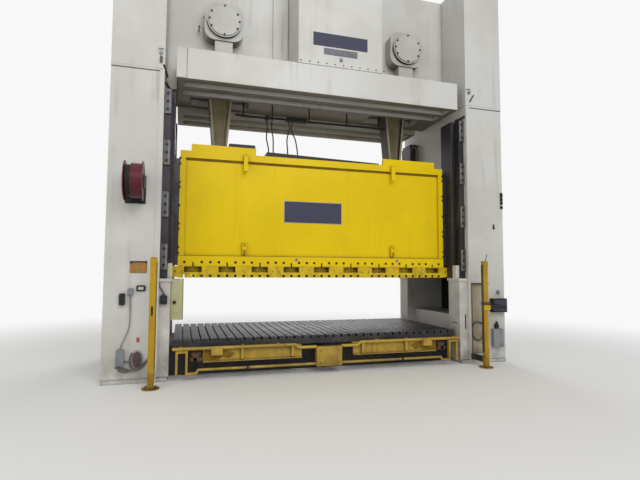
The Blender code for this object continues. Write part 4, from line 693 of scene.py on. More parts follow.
def mount(made, material, body):
    """Puts a piece in the scene, on the body that carries it."""
    made.data.materials.append(material)
    bpy.context.scene.collection.objects.link(made)
    if body:
        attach(made, body)
    return made


def circle(centre, reach, steps, start=0.0, rise=None):
    """Evenly spaced places round a circle, or round an oval that rises by another reach."""
    angles = [math.tau * (step + start) / steps for step in range(steps)]
    rise = rise or reach
    return [(centre[0] + reach * math.cos(a), centre[1] + rise * math.sin(a)) for a in angles]


class Shapes:
    def __init__(self):
        self.mesh = bmesh.new()

    def box(self, low, high, soft=0.004):
        """A box between two corners, with softened edges."""
        low, high = spot(*low), spot(*high)
        made = bmesh.ops.create_cube(self.mesh, size=1)["verts"]
        bmesh.ops.scale(self.mesh, vec=high - low, verts=made)
        bmesh.ops.translate(self.mesh, vec=(low + high) / 2, verts=made)
        if soft:
            rims = {edge for vert in made for edge in vert.link_edges}
            bmesh.ops.bevel(self.mesh, geom=list(rims), offset=soft, segments=2, affect="EDGES")
        return self

    def bar(self, axis, start, radius, length, steps=24, tip=None):
        """A round bar from a start place, for a length along an axis."""
        along = Vector((0, 0, 0))
        along["XYZ".index(axis)] = length / 2
        placed = Matrix.Translation(spot(*start) + along) @ AXES[axis]
        ends = (radius, radius if tip is None else tip)
        if axis == "Y":
            ends = ends[::-1]
        bmesh.ops.create_cone(
            self.mesh, cap_ends=True, segments=steps, radius1=ends[0], radius2=ends[1],
            depth=abs(length), matrix=placed,
        )
        return self

    def bolt(self, axis, seat, radius, out):
        """A hexagon head on a washer, standing out from its seat along an axis."""
        side = math.copysign(1, out)
        washer = 0.25 * abs(out) * side
        self.bar(axis, seat, radius * 1.25, washer, 20)
        lifted = list(seat)
        lifted["XYZ".index(axis)] += washer
        return self.bar(axis, lifted, radius, out - washer, 6)

    def cap_screw(self, axis, seat, radius, out):
        """A round screw head with a hollow for its key."""
        self.bar(axis, seat, radius, out, 18)
        lifted = list(seat)
        lifted["XYZ".index(axis)] += out
        return self.bar(axis, lifted, radius * 0.62, out * 0.12, 6)

    def outline(self, points, low, high):
        """A plate cut to an outline of (x, z) points, between two depths."""
        rim = [self.mesh.verts.new(spot(x, low, z)) for x, z in points]
        face = self.mesh.faces.new(rim)
        grown = bmesh.ops.extrude_face_region(self.mesh, geom=[face])["geom"]
        moved = [item for item in grown if isinstance(item, bmesh.types.BMVert)]
        bmesh.ops.translate(self.mesh, vec=(0, high - low, 0), verts=moved)
        return self

    def ring(self, seat, inner, outer, out, steps=16):
        """A flat ring that stands out from its seat along Y."""
        rims = []
        for step in range(steps):
            angle = math.tau * step / steps
            for reach, depth in ((inner, 0), (outer, 0), (outer, out), (inner, out)):
                x, z = seat[0] + reach * math.cos(angle), seat[2] + reach * math.sin(angle)
                rims.append(self.mesh.verts.new(spot(x, seat[1] + depth, z)))
        for step in range(steps):
            here, there = step * 4, (step + 1) % steps * 4
            for k in range(4):
                after = (k + 1) % 4
                quad = (
                    rims[here + k], rims[here + after], rims[there + after], rims[there + k],
                )
                self.mesh.faces.new(quad)
        return self

    def fit(self, name, material, body="press_frame", slot=None):
        """Turns the collected shapes into one piece."""
        bmesh.ops.recalc_face_normals(self.mesh, faces=self.mesh.faces)
        mesh = bpy.data.meshes.new(name)
        self.mesh.to_mesh(mesh)
        self.mesh.free()
        mesh.shade_smooth()
        mesh.set_sharp_from_angle(angle=math.radians(30))
        return mount(bpy.data.objects.new(name, mesh), material, body)


def slab(name, low, high, soft, material, body="press_frame", slot=None):
    """A piece made of one box."""
    return Shapes().box(low, high, soft).fit(name, material, body, slot)


def tube(name, points, radius, material, body="press_frame", smooth=True):
    """A pipe, conduit or hose through a list of places.

    Blender measures a curve's box by the radius at its knots, so the radius is set there.
    """
    path = bpy.data.curves.new(name, "CURVE")
    path.dimensions = "3D"
    path.bevel_depth = 1.0
    path.bevel_resolution = 3
    path.resolution_u = 8
    path.use_fill_caps = True
    line = path.splines.new("BEZIER" if smooth else "POLY")
    if smooth:
        line.bezier_points.add(len(points) - 1)
        for knot, place in zip(line.bezier_points, points):
            knot.co = spot(*place)
            knot.handle_left_type = knot.handle_right_type = "AUTO"
            knot.radius = radius
    else:
        line.points.add(len(points) - 1)
        for knot, place in zip(line.points, points):
            knot.co = (*spot(*place), 1)
            knot.radius = radius
    return mount(bpy.data.objects.new(name, path), material, body)


def hanging_hose(name, points, radius):
    """A hose through a list of places, kept as a plain mesh that rides on no body."""
    path = tube(name + "_path", points, radius, hose_rubber, body=None)
    bpy.context.view_layer.update()
    shown = path.evaluated_get(bpy.context.evaluated_depsgraph_get())
    made = bpy.data.objects.new(name, bpy.data.meshes.new_from_object(shown))
    bpy.data.objects.remove(path)
    bpy.context.scene.collection.objects.link(made)
    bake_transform(made)


def across(side, near, far):
    """Two values, lowest first, for a stretch on one side or at one end of the press."""
    return sorted((side * near, side * far))


# %% [markdown]
# ## Bearing covers
#
# A round cover closes each eccentric pin's bearing. Eight screws hold it: one on top,
# one below and three on each side. The square housing behind the left one has a grease
# pipe that comes down its side and bends away.

# %% Bearing covers
COVER_SCREWS = (0, 30, 90, 150, 180, 210, 270, 330)
SCREW_CIRCLE = 0.284
for side_name, side in SIDES.items():
    low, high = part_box("bearing_cover_" + side_name)
    centre = ((low[0] + high[0]) / 2, low[1] - MIDDLE, (low[2] + high[2]) / 2)
    screws = Shapes()
    for turn in COVER_SCREWS:
        angle = math.radians(turn)
        x = centre[0] + SCREW_CIRCLE * math.cos(angle)
        z = centre[2] + SCREW_CIRCLE * math.sin(angle)
        screws.cap_screw("Y", (x, centre[1], z), 0.019, -0.016)
    screws.fit("cover_screws_" + side_name, bolt_black)
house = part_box("bearing_housing_left")[0]
GREASE_TOP, GREASE_LOW = 6.72, 6.54
GREASE_X, GREASE_Y, GREASE_END = house[0] - 0.012, house[1] - MIDDLE + 0.06, house[0] - 0.080
tube(
    "grease_pipe",
    [
        (GREASE_X, GREASE_Y, GREASE_TOP), (GREASE_X, GREASE_Y, GREASE_LOW + 0.03),
        (house[0] - 0.035, GREASE_Y, GREASE_LOW), (GREASE_END, GREASE_Y, GREASE_LOW),
    ],
    0.010, cream_paint,
)
nipple = Shapes()
nipple.bar("X", (GREASE_END, GREASE_Y, GREASE_LOW), 0.015, -0.030, 6)
nipple.bar("Y", (GREASE_END - 0.015, GREASE_Y, GREASE_LOW), 0.011, 0.24, 12)
nipple.bar("Z", (GREASE_X, GREASE_Y, GREASE_TOP), 0.015, 0.02, 6)
nipple.fit("grease_nipple", bolt_black)
print("covers at", round(centre[0], 2), "and", round(-centre[0], 2))

# %% [markdown]
# ## The drive box and the beam
#
# The box between the bearings is a sheet cover, screwed to the beam along its foot.
# Its sign place holds a plain plate. The beam under it is welded from plates, and the
# end plate of its front stands a few millimetres proud.

# %% Drive box and beam
box_low, box_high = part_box("crown_drive_box")
box_front = box_low[1] - MIDDLE
screws = Shapes()
SCREW_PITCH = 0.17
count = int((box_high[0] - box_low[0]) / SCREW_PITCH)
for step in range(count + 1):
    x = box_low[0] + 0.05 + step * SCREW_PITCH
    screws.bolt("Y", (x, box_front, box_low[2] + 0.05), 0.011, -0.012)
screws.fit("drive_box_screws", bolt_black)
slab(
    "drive_box_seams", (box_low[0], box_front - 0.004, box_low[2]),
    (box_high[0], box_front, box_low[2] + 0.03), 0.001, cream_paint,
)
SIGN_LEFT, SIGN_RIGHT = -0.33, 0.78
SIGN_LOW, SIGN_HIGH = 6.155, 6.415
slab(
    "crown_sign_plate", (SIGN_LEFT, box_front - 0.006, SIGN_LOW),
    (SIGN_RIGHT, box_front, SIGN_HIGH), 0.002, navy_plate,
)
slab(
    "crown_small_plate", (-0.12, box_front - 0.005, 5.995), (0.57, box_front, 6.125), 0.002,
    slate_plate,
)
small = Shapes()
small.box((0.20, box_front - 0.02, 5.885), (0.26, box_front, 5.955), 0.006)
small.bar("Y", (0.23, box_front - 0.02, 5.92), 0.018, -0.012, 16)
small.fit("crown_vent", grey_enclosure)

beam_low, beam_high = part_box("crown_front_beam")
beam_front = beam_low[1] - MIDDLE
END_PLATE = 0.17
ends = Shapes()
near, far = beam_low[0] + 0.002, beam_low[0] + END_PLATE
ends.box(
    (near, beam_front - 0.007, beam_low[2] + 0.006), (far, beam_front, beam_high[2] - 0.006),
    0.003,
)
ends.fit("beam_end_plate", cream_paint)
slab(
    "beam_seam", (far, beam_front - 0.004, beam_low[2] + 0.006),
    (far + 0.008, beam_front, beam_high[2] - 0.006), 0.001, conduit_grey,
)

# %% [markdown]
# ## Joint fittings on the crown
#
# The crown sits on the uprights, and a weld strip covers the joint, with a dark line
# under it. Below it a flat bar runs down each inner edge. A small keyed fitting with a
# short pipe shows at each inner corner.

# %% Joint fittings
STRIP_LOW, STRIP_HIGH, STRIP_START, EDGE_BAR_FOOT = 5.290, 5.326, 3.075, 1.95
for side_name, side in SIDES.items():
    strip = Shapes()
    near, far = across(side, STRIP_START, OUTER - 0.004)
    strip.box((near, FRONT - 0.008, STRIP_LOW), (far, FRONT, STRIP_HIGH), 0.003)
    near, far = across(side, INNER + 0.002, STRIP_START + 0.010)
    strip.box((near, FRONT - 0.006, EDGE_BAR_FOOT), (far, FRONT, STRIP_LOW - 0.02), 0.003)
    strip.fit("joint_strip_" + side_name, cream_paint)
    line = Shapes()
    near, far = across(side, STRIP_START, OUTER - 0.004)
    line.box((near, FRONT - 0.004, STRIP_LOW - 0.017), (far, FRONT, STRIP_LOW), 0.001)
    line.fit("joint_line_" + side_name, conduit_grey)
    fitting = Shapes()
    fitting.bar("Y", (side * 3.063, FRONT, 5.605), 0.030, -0.030, 20)
    near, far = across(side, 3.015, 3.11)
    fitting.box((near, FRONT - 0.02, 5.668), (far, FRONT, 5.684), 0.003)
    fitting.fit("joint_fitting_" + side_name, grey_enclosure)
plug = Shapes()
plug.box((-3.080, FRONT - 0.03, 5.415), (-3.032, FRONT, 5.555), 0.016)
plug.bar("Y", (3.063, FRONT - 0.030, 5.605), 0.016, -0.012, 6)
plug.fit("joint_plugs", conduit_grey)
tube(
    "joint_pipe_right", [(3.177, FRONT - 0.014, 5.560), (3.083, FRONT - 0.018, 5.41)], 0.015,
    conduit_grey,
)
tube(
    "joint_pipe_left",
    [(-3.012, FRONT - 0.008, 5.40), (-2.975, -1.36, 5.30), (-2.952, -1.30, 5.22)], 0.018,
    bolt_black,
)

# %% [markdown]
# ## Gib blocks
#
# Each gib is set by four blocks. Their front faces are brighter than the oily rail, so
# a thin plate goes on each, with three bolts in a column and a paler lip along its inner
# edge, which is a painted highlight. Thin oil pipes run from block to block beside them.

# %% Gib block faces and bolts
BLOCK_FIRST, BLOCK_PITCH, BLOCKS = 2.08, 0.905, 4
BLOCK_BOLTS = (-0.14, 0.0, 0.14)
INNER_EDGE, PLATE_EDGE, LIP_EDGE = 0.112, 0.008, 0.078
PLATE_THICK, LIP_THICK, RAIL_FACE, RAIL_FOOT = 0.008, 0.011, 1.135, 2.05
for end_name, end in (("front", -1), ("rear", 1)):
    for side_name, side in SIDES.items():
        tail = f"_{end_name}_{side_name}"
        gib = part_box("gib" + tail)
        face = (gib[0][1] if end < 0 else gib[1][1]) - MIDDLE
        far = max(abs(gib[0][0]), abs(gib[1][0]))
        plates, bolts, lip_highlights = Shapes(), Shapes(), Shapes()
        for row in range(BLOCKS):
            z = BLOCK_FIRST + row * BLOCK_PITCH
            for made, edge, thick, half in (
                (plates, PLATE_EDGE, PLATE_THICK, 0.217),
                (lip_highlights, LIP_EDGE, LIP_THICK, 0.216),
            ):
                near_x, far_x = across(side, far - INNER_EDGE, far - edge)
                depths = sorted((face, face + end * thick))
                made.box((near_x, depths[0], z - half), (far_x, depths[1], z + half), 0.003)
            for lift in BLOCK_BOLTS:
                seat = (side * (far - 0.06), face + end * PLATE_THICK, z + lift)
                bolts.bolt("Y", seat, 0.021, end * 0.022)
        plates.fit("gib_plates" + tail, block_steel)
        # The pale lip on each block is a painted highlight.
        lip_highlights.fit("gib_lip_highlights" + tail, lip_highlight_steel)
        bolts.fit("gib_bolts" + tail, bolt_black)
        rail_face = end * RAIL_FACE
        x = side * (far - 0.155)
        tube(
            "gib_oil_pipe" + tail,
            [(x, rail_face + end * 0.012, z) for z in (RAIL_FOOT, 2.9, 3.8, 4.7, 4.98)], 0.007,
            bolt_black,
        )
        rail_bolts = Shapes()
        for row in range(8):
            z = RAIL_FOOT + 0.10 + row * 0.36
            rail_bolts.cap_screw("Y", (x + side * -0.022, rail_face, z), 0.011, end * 0.008)
        rail_bolts.fit("gib_screws" + tail, bolt_black)
        top = gib[1][2]
        tube(
            "gib_top_hose" + tail,
            [
                (side * 2.895, end * 1.15, top + 0.022),
                (side * 2.930, end * 1.24, top + 0.028),
                (side * (INNER - 0.020), end * 1.37, top + 0.060),
            ],
            0.024, hose_rubber,
        )

# %% [markdown]
# ## The slide's plates and bolts
#
# Bolts hold the end plates of the slide, and their heads stand in pairs on its edges. The
# slide's top is an open tray, and a dark cover stands in it behind the yellow rim. The
# wide plate on the front is bare, with a thin pale border. Along the foot runs a row of
# tapped holes. A dark plug sits deep in each as painted shade in the hole, and a dark
# ring lies round its mouth.

# %% Slide fittings
SLIDE_FRONT = -0.915
SLIDE_FACE = SLIDE_FRONT + 0.045
SLIDE_END = 2.705
LINER_BOLTS = (3.90, 3.80, 3.46, 3.37, 3.03, 2.70, 2.60, 2.27, 2.165)
bolts = Shapes()
for side in SIDES.values():
    for end in (-1, 1):
        for z in LINER_BOLTS:
            y = end * abs(SLIDE_FRONT)
            bolts.cap_screw("Y", (side * (SLIDE_END - 0.001), y, z), 0.022, end * 0.018)
bolts.fit("liner_bolts", bolt_black, "slide")

slab(
    "slide_plate_border", (-0.76, SLIDE_FACE - 0.004, 2.778), (0.432, SLIDE_FACE, 3.212), 0.002,
    pale_plate, "slide",
)
slab(
    "slide_name_plate", (-0.748, SLIDE_FACE - 0.008, 2.79), (0.42, SLIDE_FACE - 0.004, 3.20),
    0.002, navy_plate, "slide",
)

TRAY_FLOOR = 3.90
cover = Shapes()
sheet = [
    (-1.10, TRAY_FLOOR + 0.002), (1.255, TRAY_FLOOR + 0.002), (1.255, 4.088), (-1.10, 4.150),
]
cover.outline(sheet, SLIDE_FRONT + 0.065, -0.42)
cover.fit("slide_top_cover", black_paint, "slide")
slab(
    "slide_wall_cap", (-1.825, SLIDE_FRONT + 0.065, TRAY_FLOOR + 0.002), (-1.325, -0.72, 4.262),
    0.01, black_paint, "slide",
)

slab(
    "slide_seam", (-SLIDE_END, SLIDE_FRONT - 0.002, 2.116),
    (SLIDE_END, SLIDE_FRONT + 0.01, 2.122), 0.001, bolt_black, "slide", "black_paint",
)

# A brown strip under the step of the front plate is a painted shadow of the overhang, and brown
# strips on the lifting lugs are painted shade in their slots.
STEP_LOW, STEP_HIGH, LUG_AT, LUG_FRONT = 3.876, 3.912, 1.52, -0.956
dirt_and_shade = Shapes()
dirt_and_shade.box((-2.605, SLIDE_FACE - 0.003, STEP_LOW), (2.605, SLIDE_FACE, STEP_HIGH), 0.001)
for side in SIDES.values():
    near, far = side * LUG_AT - 0.013, side * LUG_AT + 0.013
    for low, high in ((3.745, 3.945), (2.150, 2.225), (2.300, 2.335)):
        dirt_and_shade.box((near, LUG_FRONT - 0.002, low), (far, LUG_FRONT, high), 0.001)
dirt_and_shade.fit("slide_step_shadow", step_brown, "slide", "slide_yellow")

tags = Shapes()
for x in (-0.51, 1.62):
    tags.bar("Y", (x, SLIDE_FRONT, 2.065), 0.030, -0.012, 24)
    tags.bar("Y", (x, SLIDE_FRONT - 0.012, 2.065), 0.014, -0.004, 12)
tags.fit("slide_tags", grey_enclosure, "slide")

ROW_PITCH, ROW_HEIGHT, ROW_LAST, WINDOW_EVERY = 0.1524, 2.002, 17, 4
# The dark plug in each hole is painted shade.
plugs = Shapes()
for step in range(-ROW_LAST, ROW_LAST + 1):
    if step % WINDOW_EVERY:
        plugs.bar("Y", (step * ROW_PITCH, SLIDE_FRONT + 0.008, ROW_HEIGHT), 0.0185, 0.03, 16)
        plugs.ring((step * ROW_PITCH, SLIDE_FRONT, ROW_HEIGHT), 0.0206, 0.0265, -0.0008)
plugs.fit("tapped_row_plugs", bolt_black, "slide", "black_paint")
small = Shapes()
for x in (-0.98, -0.85, 0.85, 0.99):
    small.cap_screw("Y", (x, SLIDE_FRONT, 1.83), 0.013, -0.004)
for side in SIDES.values():
    small.cap_screw("Y", (side * 2.75, SLIDE_FRONT, 1.84), 0.014, -0.012)
small.fit("slide_plate_screws", bolt_black, "slide", "black_paint")

# %% [markdown]
# ## Connecting rods
#
# The rods are shaped like an I-beam: a thin dark web between two bright flanges. The
# solid has the hollows, so a plate of darker olive lines the floor of each, and an oil
# pipe runs down beside it.

# %% Rod webs
ROD_X = 1.95
WEB_TOP, WEB_LOW = 5.412, 4.318
WEB_WIDE, WEB_SLIM = 0.189, 0.091
WEB_DEPTH = 0.0803
for side_name, side in SIDES.items():
    webs = Shapes()
    centre = side * ROD_X
    for face in (-1, 1):
        depth = sorted((face * WEB_DEPTH, face * (WEB_DEPTH + 0.005)))
        corners_of_web = [
            (centre - WEB_WIDE, WEB_TOP), (centre + WEB_WIDE, WEB_TOP),
            (centre + WEB_SLIM, WEB_LOW), (centre - WEB_SLIM, WEB_LOW),
        ]
        webs.outline(corners_of_web, *depth)
    webs.fit("rod_webs_" + side_name, web_olive, "rod_" + side_name)
    pipe = [
        (centre + 0.12, -0.10, 5.40), (centre + 0.09, -0.10, 4.9), (centre + 0.05, -0.10, 4.34),
    ]
    tube("rod_oil_pipe_" + side_name, pipe, 0.009, rod_cream, "rod_" + side_name)

# %% [markdown]
# ## Oil hoses from the crown to the slide
#
# A pipe for oil hangs on straps under the crown. Its hoses run from it down to the top
# of the slide's cover, and each is a plain mesh that rides on no body. A short loop of
# hose stands in the slide's tray and only goes with the slide.

# %% Oil hoses
RUN_Y, RUN_Z, CEILING = -0.25, 5.03, 5.329
SAGS = ((-1.66, 0), (-1.3, 0.012), (-0.9, 0), (-0.1, 0.006), (0.75, 0), (1.66, 0))
tube("oil_pipe_run", [(x, RUN_Y, RUN_Z - sag) for x, sag in SAGS], 0.024, bolt_black)
straps = Shapes()
for x in (-1.5, -0.9, -0.1, 0.75, 1.5):
    left, right, back = x - 0.015, x + 0.015, RUN_Y - 0.029
    straps.box((left, back, RUN_Z - 0.03), (right, back + 0.005, CEILING), 0.001)
    straps.box((left, back, RUN_Z - 0.032), (right, RUN_Y + 0.029, RUN_Z - 0.026), 0.001)
straps.box((-0.60, RUN_Y - 0.06, RUN_Z - 0.05), (-0.15, RUN_Y + 0.06, RUN_Z + 0.05), 0.01)
straps.box((-1.05, RUN_Y - 0.04, RUN_Z - 0.06), (-0.96, RUN_Y + 0.04, RUN_Z + 0.04), 0.01)
straps.fit("oil_pipe_straps", black_paint)
COVER_TOP = 4.105
HOSES = (
    (-1.010, -1.000, 0.015), (-0.895, -0.890, -0.010), (-0.545, -0.600, 0.012),
    (-0.470, -0.380, -0.015),
)
for index, (x, foot_x, sway) in enumerate(HOSES):
    route = [
        (x, RUN_Y, RUN_Z - 0.03), (x + sway, RUN_Y, RUN_Z - 0.20),
        ((x + foot_x) / 2 - sway, RUN_Y - 0.05, 4.60), (foot_x + sway / 2, RUN_Y - 0.15, 4.32),
        (foot_x, RUN_Y - 0.20, COVER_TOP),
    ]
    hanging_hose(f"oil_hose_{index + 1}", route, 0.013)
loop = [
    (2.10, -0.60, TRAY_FLOOR + 0.002), (2.11, -0.60, 4.30), (2.14, -0.60, 4.52),
    (2.20, -0.60, 4.58), (2.255, -0.60, 4.50), (2.26, -0.60, 4.30),
    (2.27, -0.60, TRAY_FLOOR + 0.002),
]
tube("slide_oil_loop", loop, 0.016, hose_rubber, "slide")

# %% [markdown]
# ## Fittings on the left upright
#
# Boxes, a conduit and an oval port sit low on the left upright. The orange plate above
# them is bare. Conduit is rigid, so it is a pipe bent where the real one is bent.

# %% Left upright fittings
slab("label_plate", (-3.456, FRONT - 0.010, 1.803), (-3.187, FRONT, 2.000), 0.003, orange_plate)
label = Shapes()
label.box((-3.456, FRONT - 0.014, 1.978), (-3.187, FRONT - 0.010, 2.000), 0.001)
for x in (-3.436, -3.207):
    label.bolt("Y", (x, FRONT - 0.012, 1.978), 0.014, -0.012)
label.fit("label_strip", bolt_black)

box = Shapes()
box.box((-3.475, FRONT - 0.05, 1.445), (-3.385, FRONT, 1.55), 0.008)
box.bar("Z", (-3.43, FRONT - 0.025, 1.415), 0.016, 0.03, 16)
box.fit("switch_box", grey_enclosure)
tube(
    "switch_conduit",
    [
        (-3.43, FRONT - 0.025, 1.42), (-3.43, FRONT - 0.020, 1.10),
        (-3.44, FRONT - 0.018, 0.92), (-3.50, FRONT - 0.018, 0.74),
        (-3.55, FRONT - 0.018, 0.62), (-3.56, FRONT - 0.03, 0.565),
    ],
    0.010, grey_enclosure,
)
slab("outlet_frame", (-3.345, FRONT - 0.035, 1.50), (-3.20, FRONT, 1.60), 0.012, bolt_black)
slab(
    "outlet_plate", (-3.315, FRONT - 0.040, 1.525), (-3.23, FRONT - 0.035, 1.575), 0.002,
    pale_plate,
)
slab("left_black_box", (-3.60, FRONT - 0.08, 1.28), (-3.51, FRONT, 1.47), 0.008, black_paint)
slab("port_tag", (-3.32, FRONT - 0.006, 0.665), (-3.272, FRONT, 0.745), 0.002, tag_red)

PORT = (-3.30, 0.385)
oval = circle(PORT, 0.092, 32, rise=0.150)
Shapes().outline(oval, FRONT - 0.022, FRONT).fit("port_rim", grey_enclosure)
oval = circle(PORT, 0.074, 32, rise=0.130)
Shapes().outline(oval, FRONT - 0.026, FRONT - 0.022).fit("port_cover", dull_brown)
for index, drop in enumerate((0.0, 0.045)):
    tube(
        f"port_hose_{index + 1}",
        [
            (-3.585 - drop, FRONT - 0.018, 0.225 + drop), (-3.480, FRONT - 0.030, 0.205 + drop),
            (-3.391, FRONT - 0.040, 0.222), (-3.248, FRONT - 0.042, 0.279 - drop / 2),
            (-3.130, FRONT - 0.035, 0.397 - drop / 2), (-3.060, FRONT - 0.020, 0.500),
        ],
        0.014, conduit_grey,
    )
tube(
    "port_lead",
    [(-3.505, FRONT - 0.04, 0.377), (-3.44, FRONT - 0.04, 0.360), (-3.39, FRONT - 0.03, 0.352)],
    0.012, conduit_grey,
)
loop = [(-3.375, 0.500), (-3.402, 0.440), (-3.408, 0.360), (-3.395, 0.290), (-3.360, 0.240)]
tube("port_loop", [(x, FRONT - 0.024, z) for x, z in loop], 0.016, conduit_grey)

# %% [markdown]
# ## Fittings on the right upright
#
# A black control box hangs beside the light-curtain post, with a small sign above it
# and a grey junction box below. The tall recess holds a tan panel, edged by a dark
# strip, with a short loop of hose.

# %% Right upright fittings
panel = Shapes()
RECESS = (3.068, 3.442, 0.195, 1.595)
back = FRONT + 0.068
panel.box((RECESS[0], back - 0.012, RECESS[2]), (RECESS[1], back, RECESS[3]), 0.003)
panel.fit("recess_panel", panel_tan)
trim = Shapes()
trim.box(
    (RECESS[0] - 0.02, FRONT - 0.010, RECESS[3]), (RECESS[1] + 0.02, FRONT, RECESS[3] + 0.025),
    0.003,
)
trim.box(
    (RECESS[0] - 0.02, FRONT - 0.010, RECESS[2]), (RECESS[0], FRONT, RECESS[3] + 0.025), 0.003,
)
trim.fit("recess_trim", dull_brown)
slab(
    "recess_strip", (RECESS[0] + 0.012, back - 0.03, RECESS[2]),
    (RECESS[0] + 0.034, back - 0.012, RECESS[3]), 0.004, step_brown,
)
loop = [
    (3.37, 0.775), (3.276, 0.802), (3.165, 0.815), (3.103, 0.740), (3.097, 0.620),
    (3.142, 0.490), (3.231, 0.452), (3.319, 0.505), (3.370, 0.570),
]
tube("recess_hose", [(x, back - 0.032, z) for x, z in loop], 0.014, conduit_grey)
slab("upright_sign", (3.62, FRONT - 0.006, 1.35), (3.75, FRONT, 1.49), 0.003, pale_plate)
mark = Shapes()
mark.ring((3.685, FRONT - 0.006, 1.42), 0.017, 0.043, -0.003, 24)
mark.fit("sign_ring", bolt_black)
tags = Shapes()
for low, high in ((3.42, 3.515), (3.34, 3.412), (3.262, 3.332), (3.176, 3.236)):
    tags.box((3.785, FRONT - 0.020, low), (3.848, FRONT, high), 0.004)
tags.box((3.590, FRONT - 0.012, 2.735), (3.642, FRONT, 2.785), 0.006)
tags.box((3.596, FRONT - 0.012, 2.790), (3.636, FRONT, 2.840), 0.006)
tags.fit("upright_contacts", bolt_black)
fitting = Shapes()
fitting.box((3.575, FRONT - 0.06, 0.69), (3.665, FRONT, 0.78), 0.012)
fitting.bar("Z", (3.62, FRONT - 0.04, 0.77), 0.02, 0.06, 16)
fitting.fit("junction_gland", bolt_black)
slab(
    "control_face", (3.50, FRONT - 0.128, 1.05), (3.80, FRONT - 0.119, 1.27), 0.004, navy_plate,
)
buttons = Shapes()
for x in (3.56, 3.65, 3.74):
    buttons.bar("Y", (x, FRONT - 0.128, 1.12), 0.018, -0.014, 20, 0.016)
buttons.fit("control_buttons", tag_red)

# %% [markdown]
# ## Lower posts
#
# The left front post carries a small sensor on its face, with its cable going up to
# the gib. Beside it a narrow shield of pale lime sheet hangs on two hinges and has a
# black knob. The right post has a tall slot in front and three short ones on its inner
# face, where rust creeps up the edge. Thin skirts in the frame's paint cover the soles.

# %% Lower post fittings
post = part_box("lower_post_front_left")
post_front = post[0][1] - MIDDLE + 0.022
sensor = Shapes()
sensor.box((-2.972, post_front - 0.07, 1.28), (-2.855, post_front, 1.43), 0.010)
sensor.box((-2.955, post_front - 0.085, 1.30), (-2.872, post_front - 0.07, 1.37), 0.006)
sensor.bar("Z", (-2.915, post_front - 0.035, 1.43), 0.018, 0.03, 16)
sensor.fit("post_sensor", black_paint)
tube(
    "sensor_cable",
    [
        (-2.915, post_front - 0.035, 1.45), (-2.935, post_front - 0.04, 1.51),
        (-2.972, post_front - 0.03, 1.56), (-2.985, post_front - 0.02, 1.62),
        (-2.983, post_front - 0.005, 1.68),
    ],
    0.009, hose_rubber,
)
slots = Shapes()
slots.box((2.930, post_front - 0.003, 0.68), (2.955, post_front + 0.004, 0.98), 0.001)
POST_INNER = 2.81
slots.box((POST_INNER - 0.003, -1.26, 0.79), (POST_INNER + 0.004, -1.06, 0.81), 0.001)
for z in (0.70, 0.66):
    slots.box((POST_INNER - 0.002, -1.22, z), (POST_INNER + 0.004, -1.05, z + 0.008), 0.001)
slots.fit("post_slots", bolt_black)
slab(
    "post_rust_strip", (POST_INNER - 0.010, -1.00, 0.08), (POST_INNER, -0.945, 0.45), 0.003,
    rusty_steel,
)

SOLE_TOP, SOLE_FRONT, SOLE_SIDE = 0.068, 1.3655, 3.8205


def skirts(name, ends, along, depth, soft, material):
    """Thin covers round the soles on both sides: one at each end and one along."""
    for side_name, side in SIDES.items():
        skirt = Shapes()
        near, far = across(side, *ends)
        for end in (-1, 1):
            front, back = across(end, SOLE_FRONT, depth)
            skirt.box((near, front, 0.001), (far, back, SOLE_TOP), soft)
        near, far = across(side, *along)
        skirt.box((near, -SOLE_FRONT, 0.001), (far, SOLE_FRONT, SOLE_TOP), soft)
        skirt.fit(name + side_name, material)


skirts("foot_skirt_", (INNER, OUTER), (SOLE_SIDE, OUTER), -FRONT, 0.004, cream_paint)

shield = Shapes()
shield.box((-POST_INNER + 0.001, -0.962, 0.975), (-2.598, -0.944, 1.704), 0.004)
shield.box((-2.612, -0.962, 0.975), (-2.594, -0.90, 1.704), 0.004)
for z in (1.08, 1.58):
    shield.bar("Z", (-POST_INNER + 0.014, -0.972, z - 0.05), 0.013, 0.10, 16)
shield.fit("die_side_shield", shield_lime)
knob = Shapes()
knob.bar("Y", (-2.745, -0.962, 1.285), 0.030, -0.035, 24, 0.024)
knob.fit("die_side_knob", bolt_black)
slab(
    "post_block_facing", (-2.866, -1.2585, 1.765), (-2.790, -1.2555, 1.972), 0.001, shield_lime,
)
SOLE_INNER = 2.84
ends, along = (SOLE_INNER - 0.008, INNER - 0.001), (SOLE_INNER - 0.008, SOLE_INNER - 0.0005)
skirts("post_skirt_", ends, along, SOLE_FRONT + 0.008, 0.003, post_paint)

# %% [markdown]
# ## Light-curtain posts
#
# The two posts face each other with a dark lens strip. Each has a cap on top and
# anchor bolts through its floor plate. Clamps show where the brackets hold them, and
# black covers lie over the bars that tie the posts to the press.

# %% Light-curtain posts
CURTAIN_X, CURTAIN_Y = 3.06, -1.825
for side_name, side in SIDES.items():
    centre = side * CURTAIN_X
    near, far = across(side, CURTAIN_X - 0.05, CURTAIN_X - 0.058)
    low, high = (near, CURTAIN_Y - 0.030, 0.30), (far, CURTAIN_Y + 0.030, 1.98)
    slab("curtain_lens_" + side_name, low, high, 0.002, lens_amber)
    anchors = Shapes()
    for x, y in circle((centre, CURTAIN_Y), 0.105, 4, start=0.5):
        anchors.bolt("Z", (x, y, 0.016), 0.011, 0.016)
    anchors.fit("curtain_anchors_" + side_name, bolt_black)
    low = (centre - 0.046, CURTAIN_Y - 0.052, 1.95)
    high = (centre + 0.046, CURTAIN_Y - 0.046, 2.03)
    slab("curtain_cap_" + side_name, low, high, 0.002, curtain_yellow)
slab("curtain_slot", (-3.080, -1.878, 1.140), (-3.050, -1.873, 1.285), 0.002, bolt_black)
slab("curtain_clamp", (3.004, -1.886, 1.205), (3.150, -1.764, 1.262), 0.006, dull_brown)
clamp = Shapes()
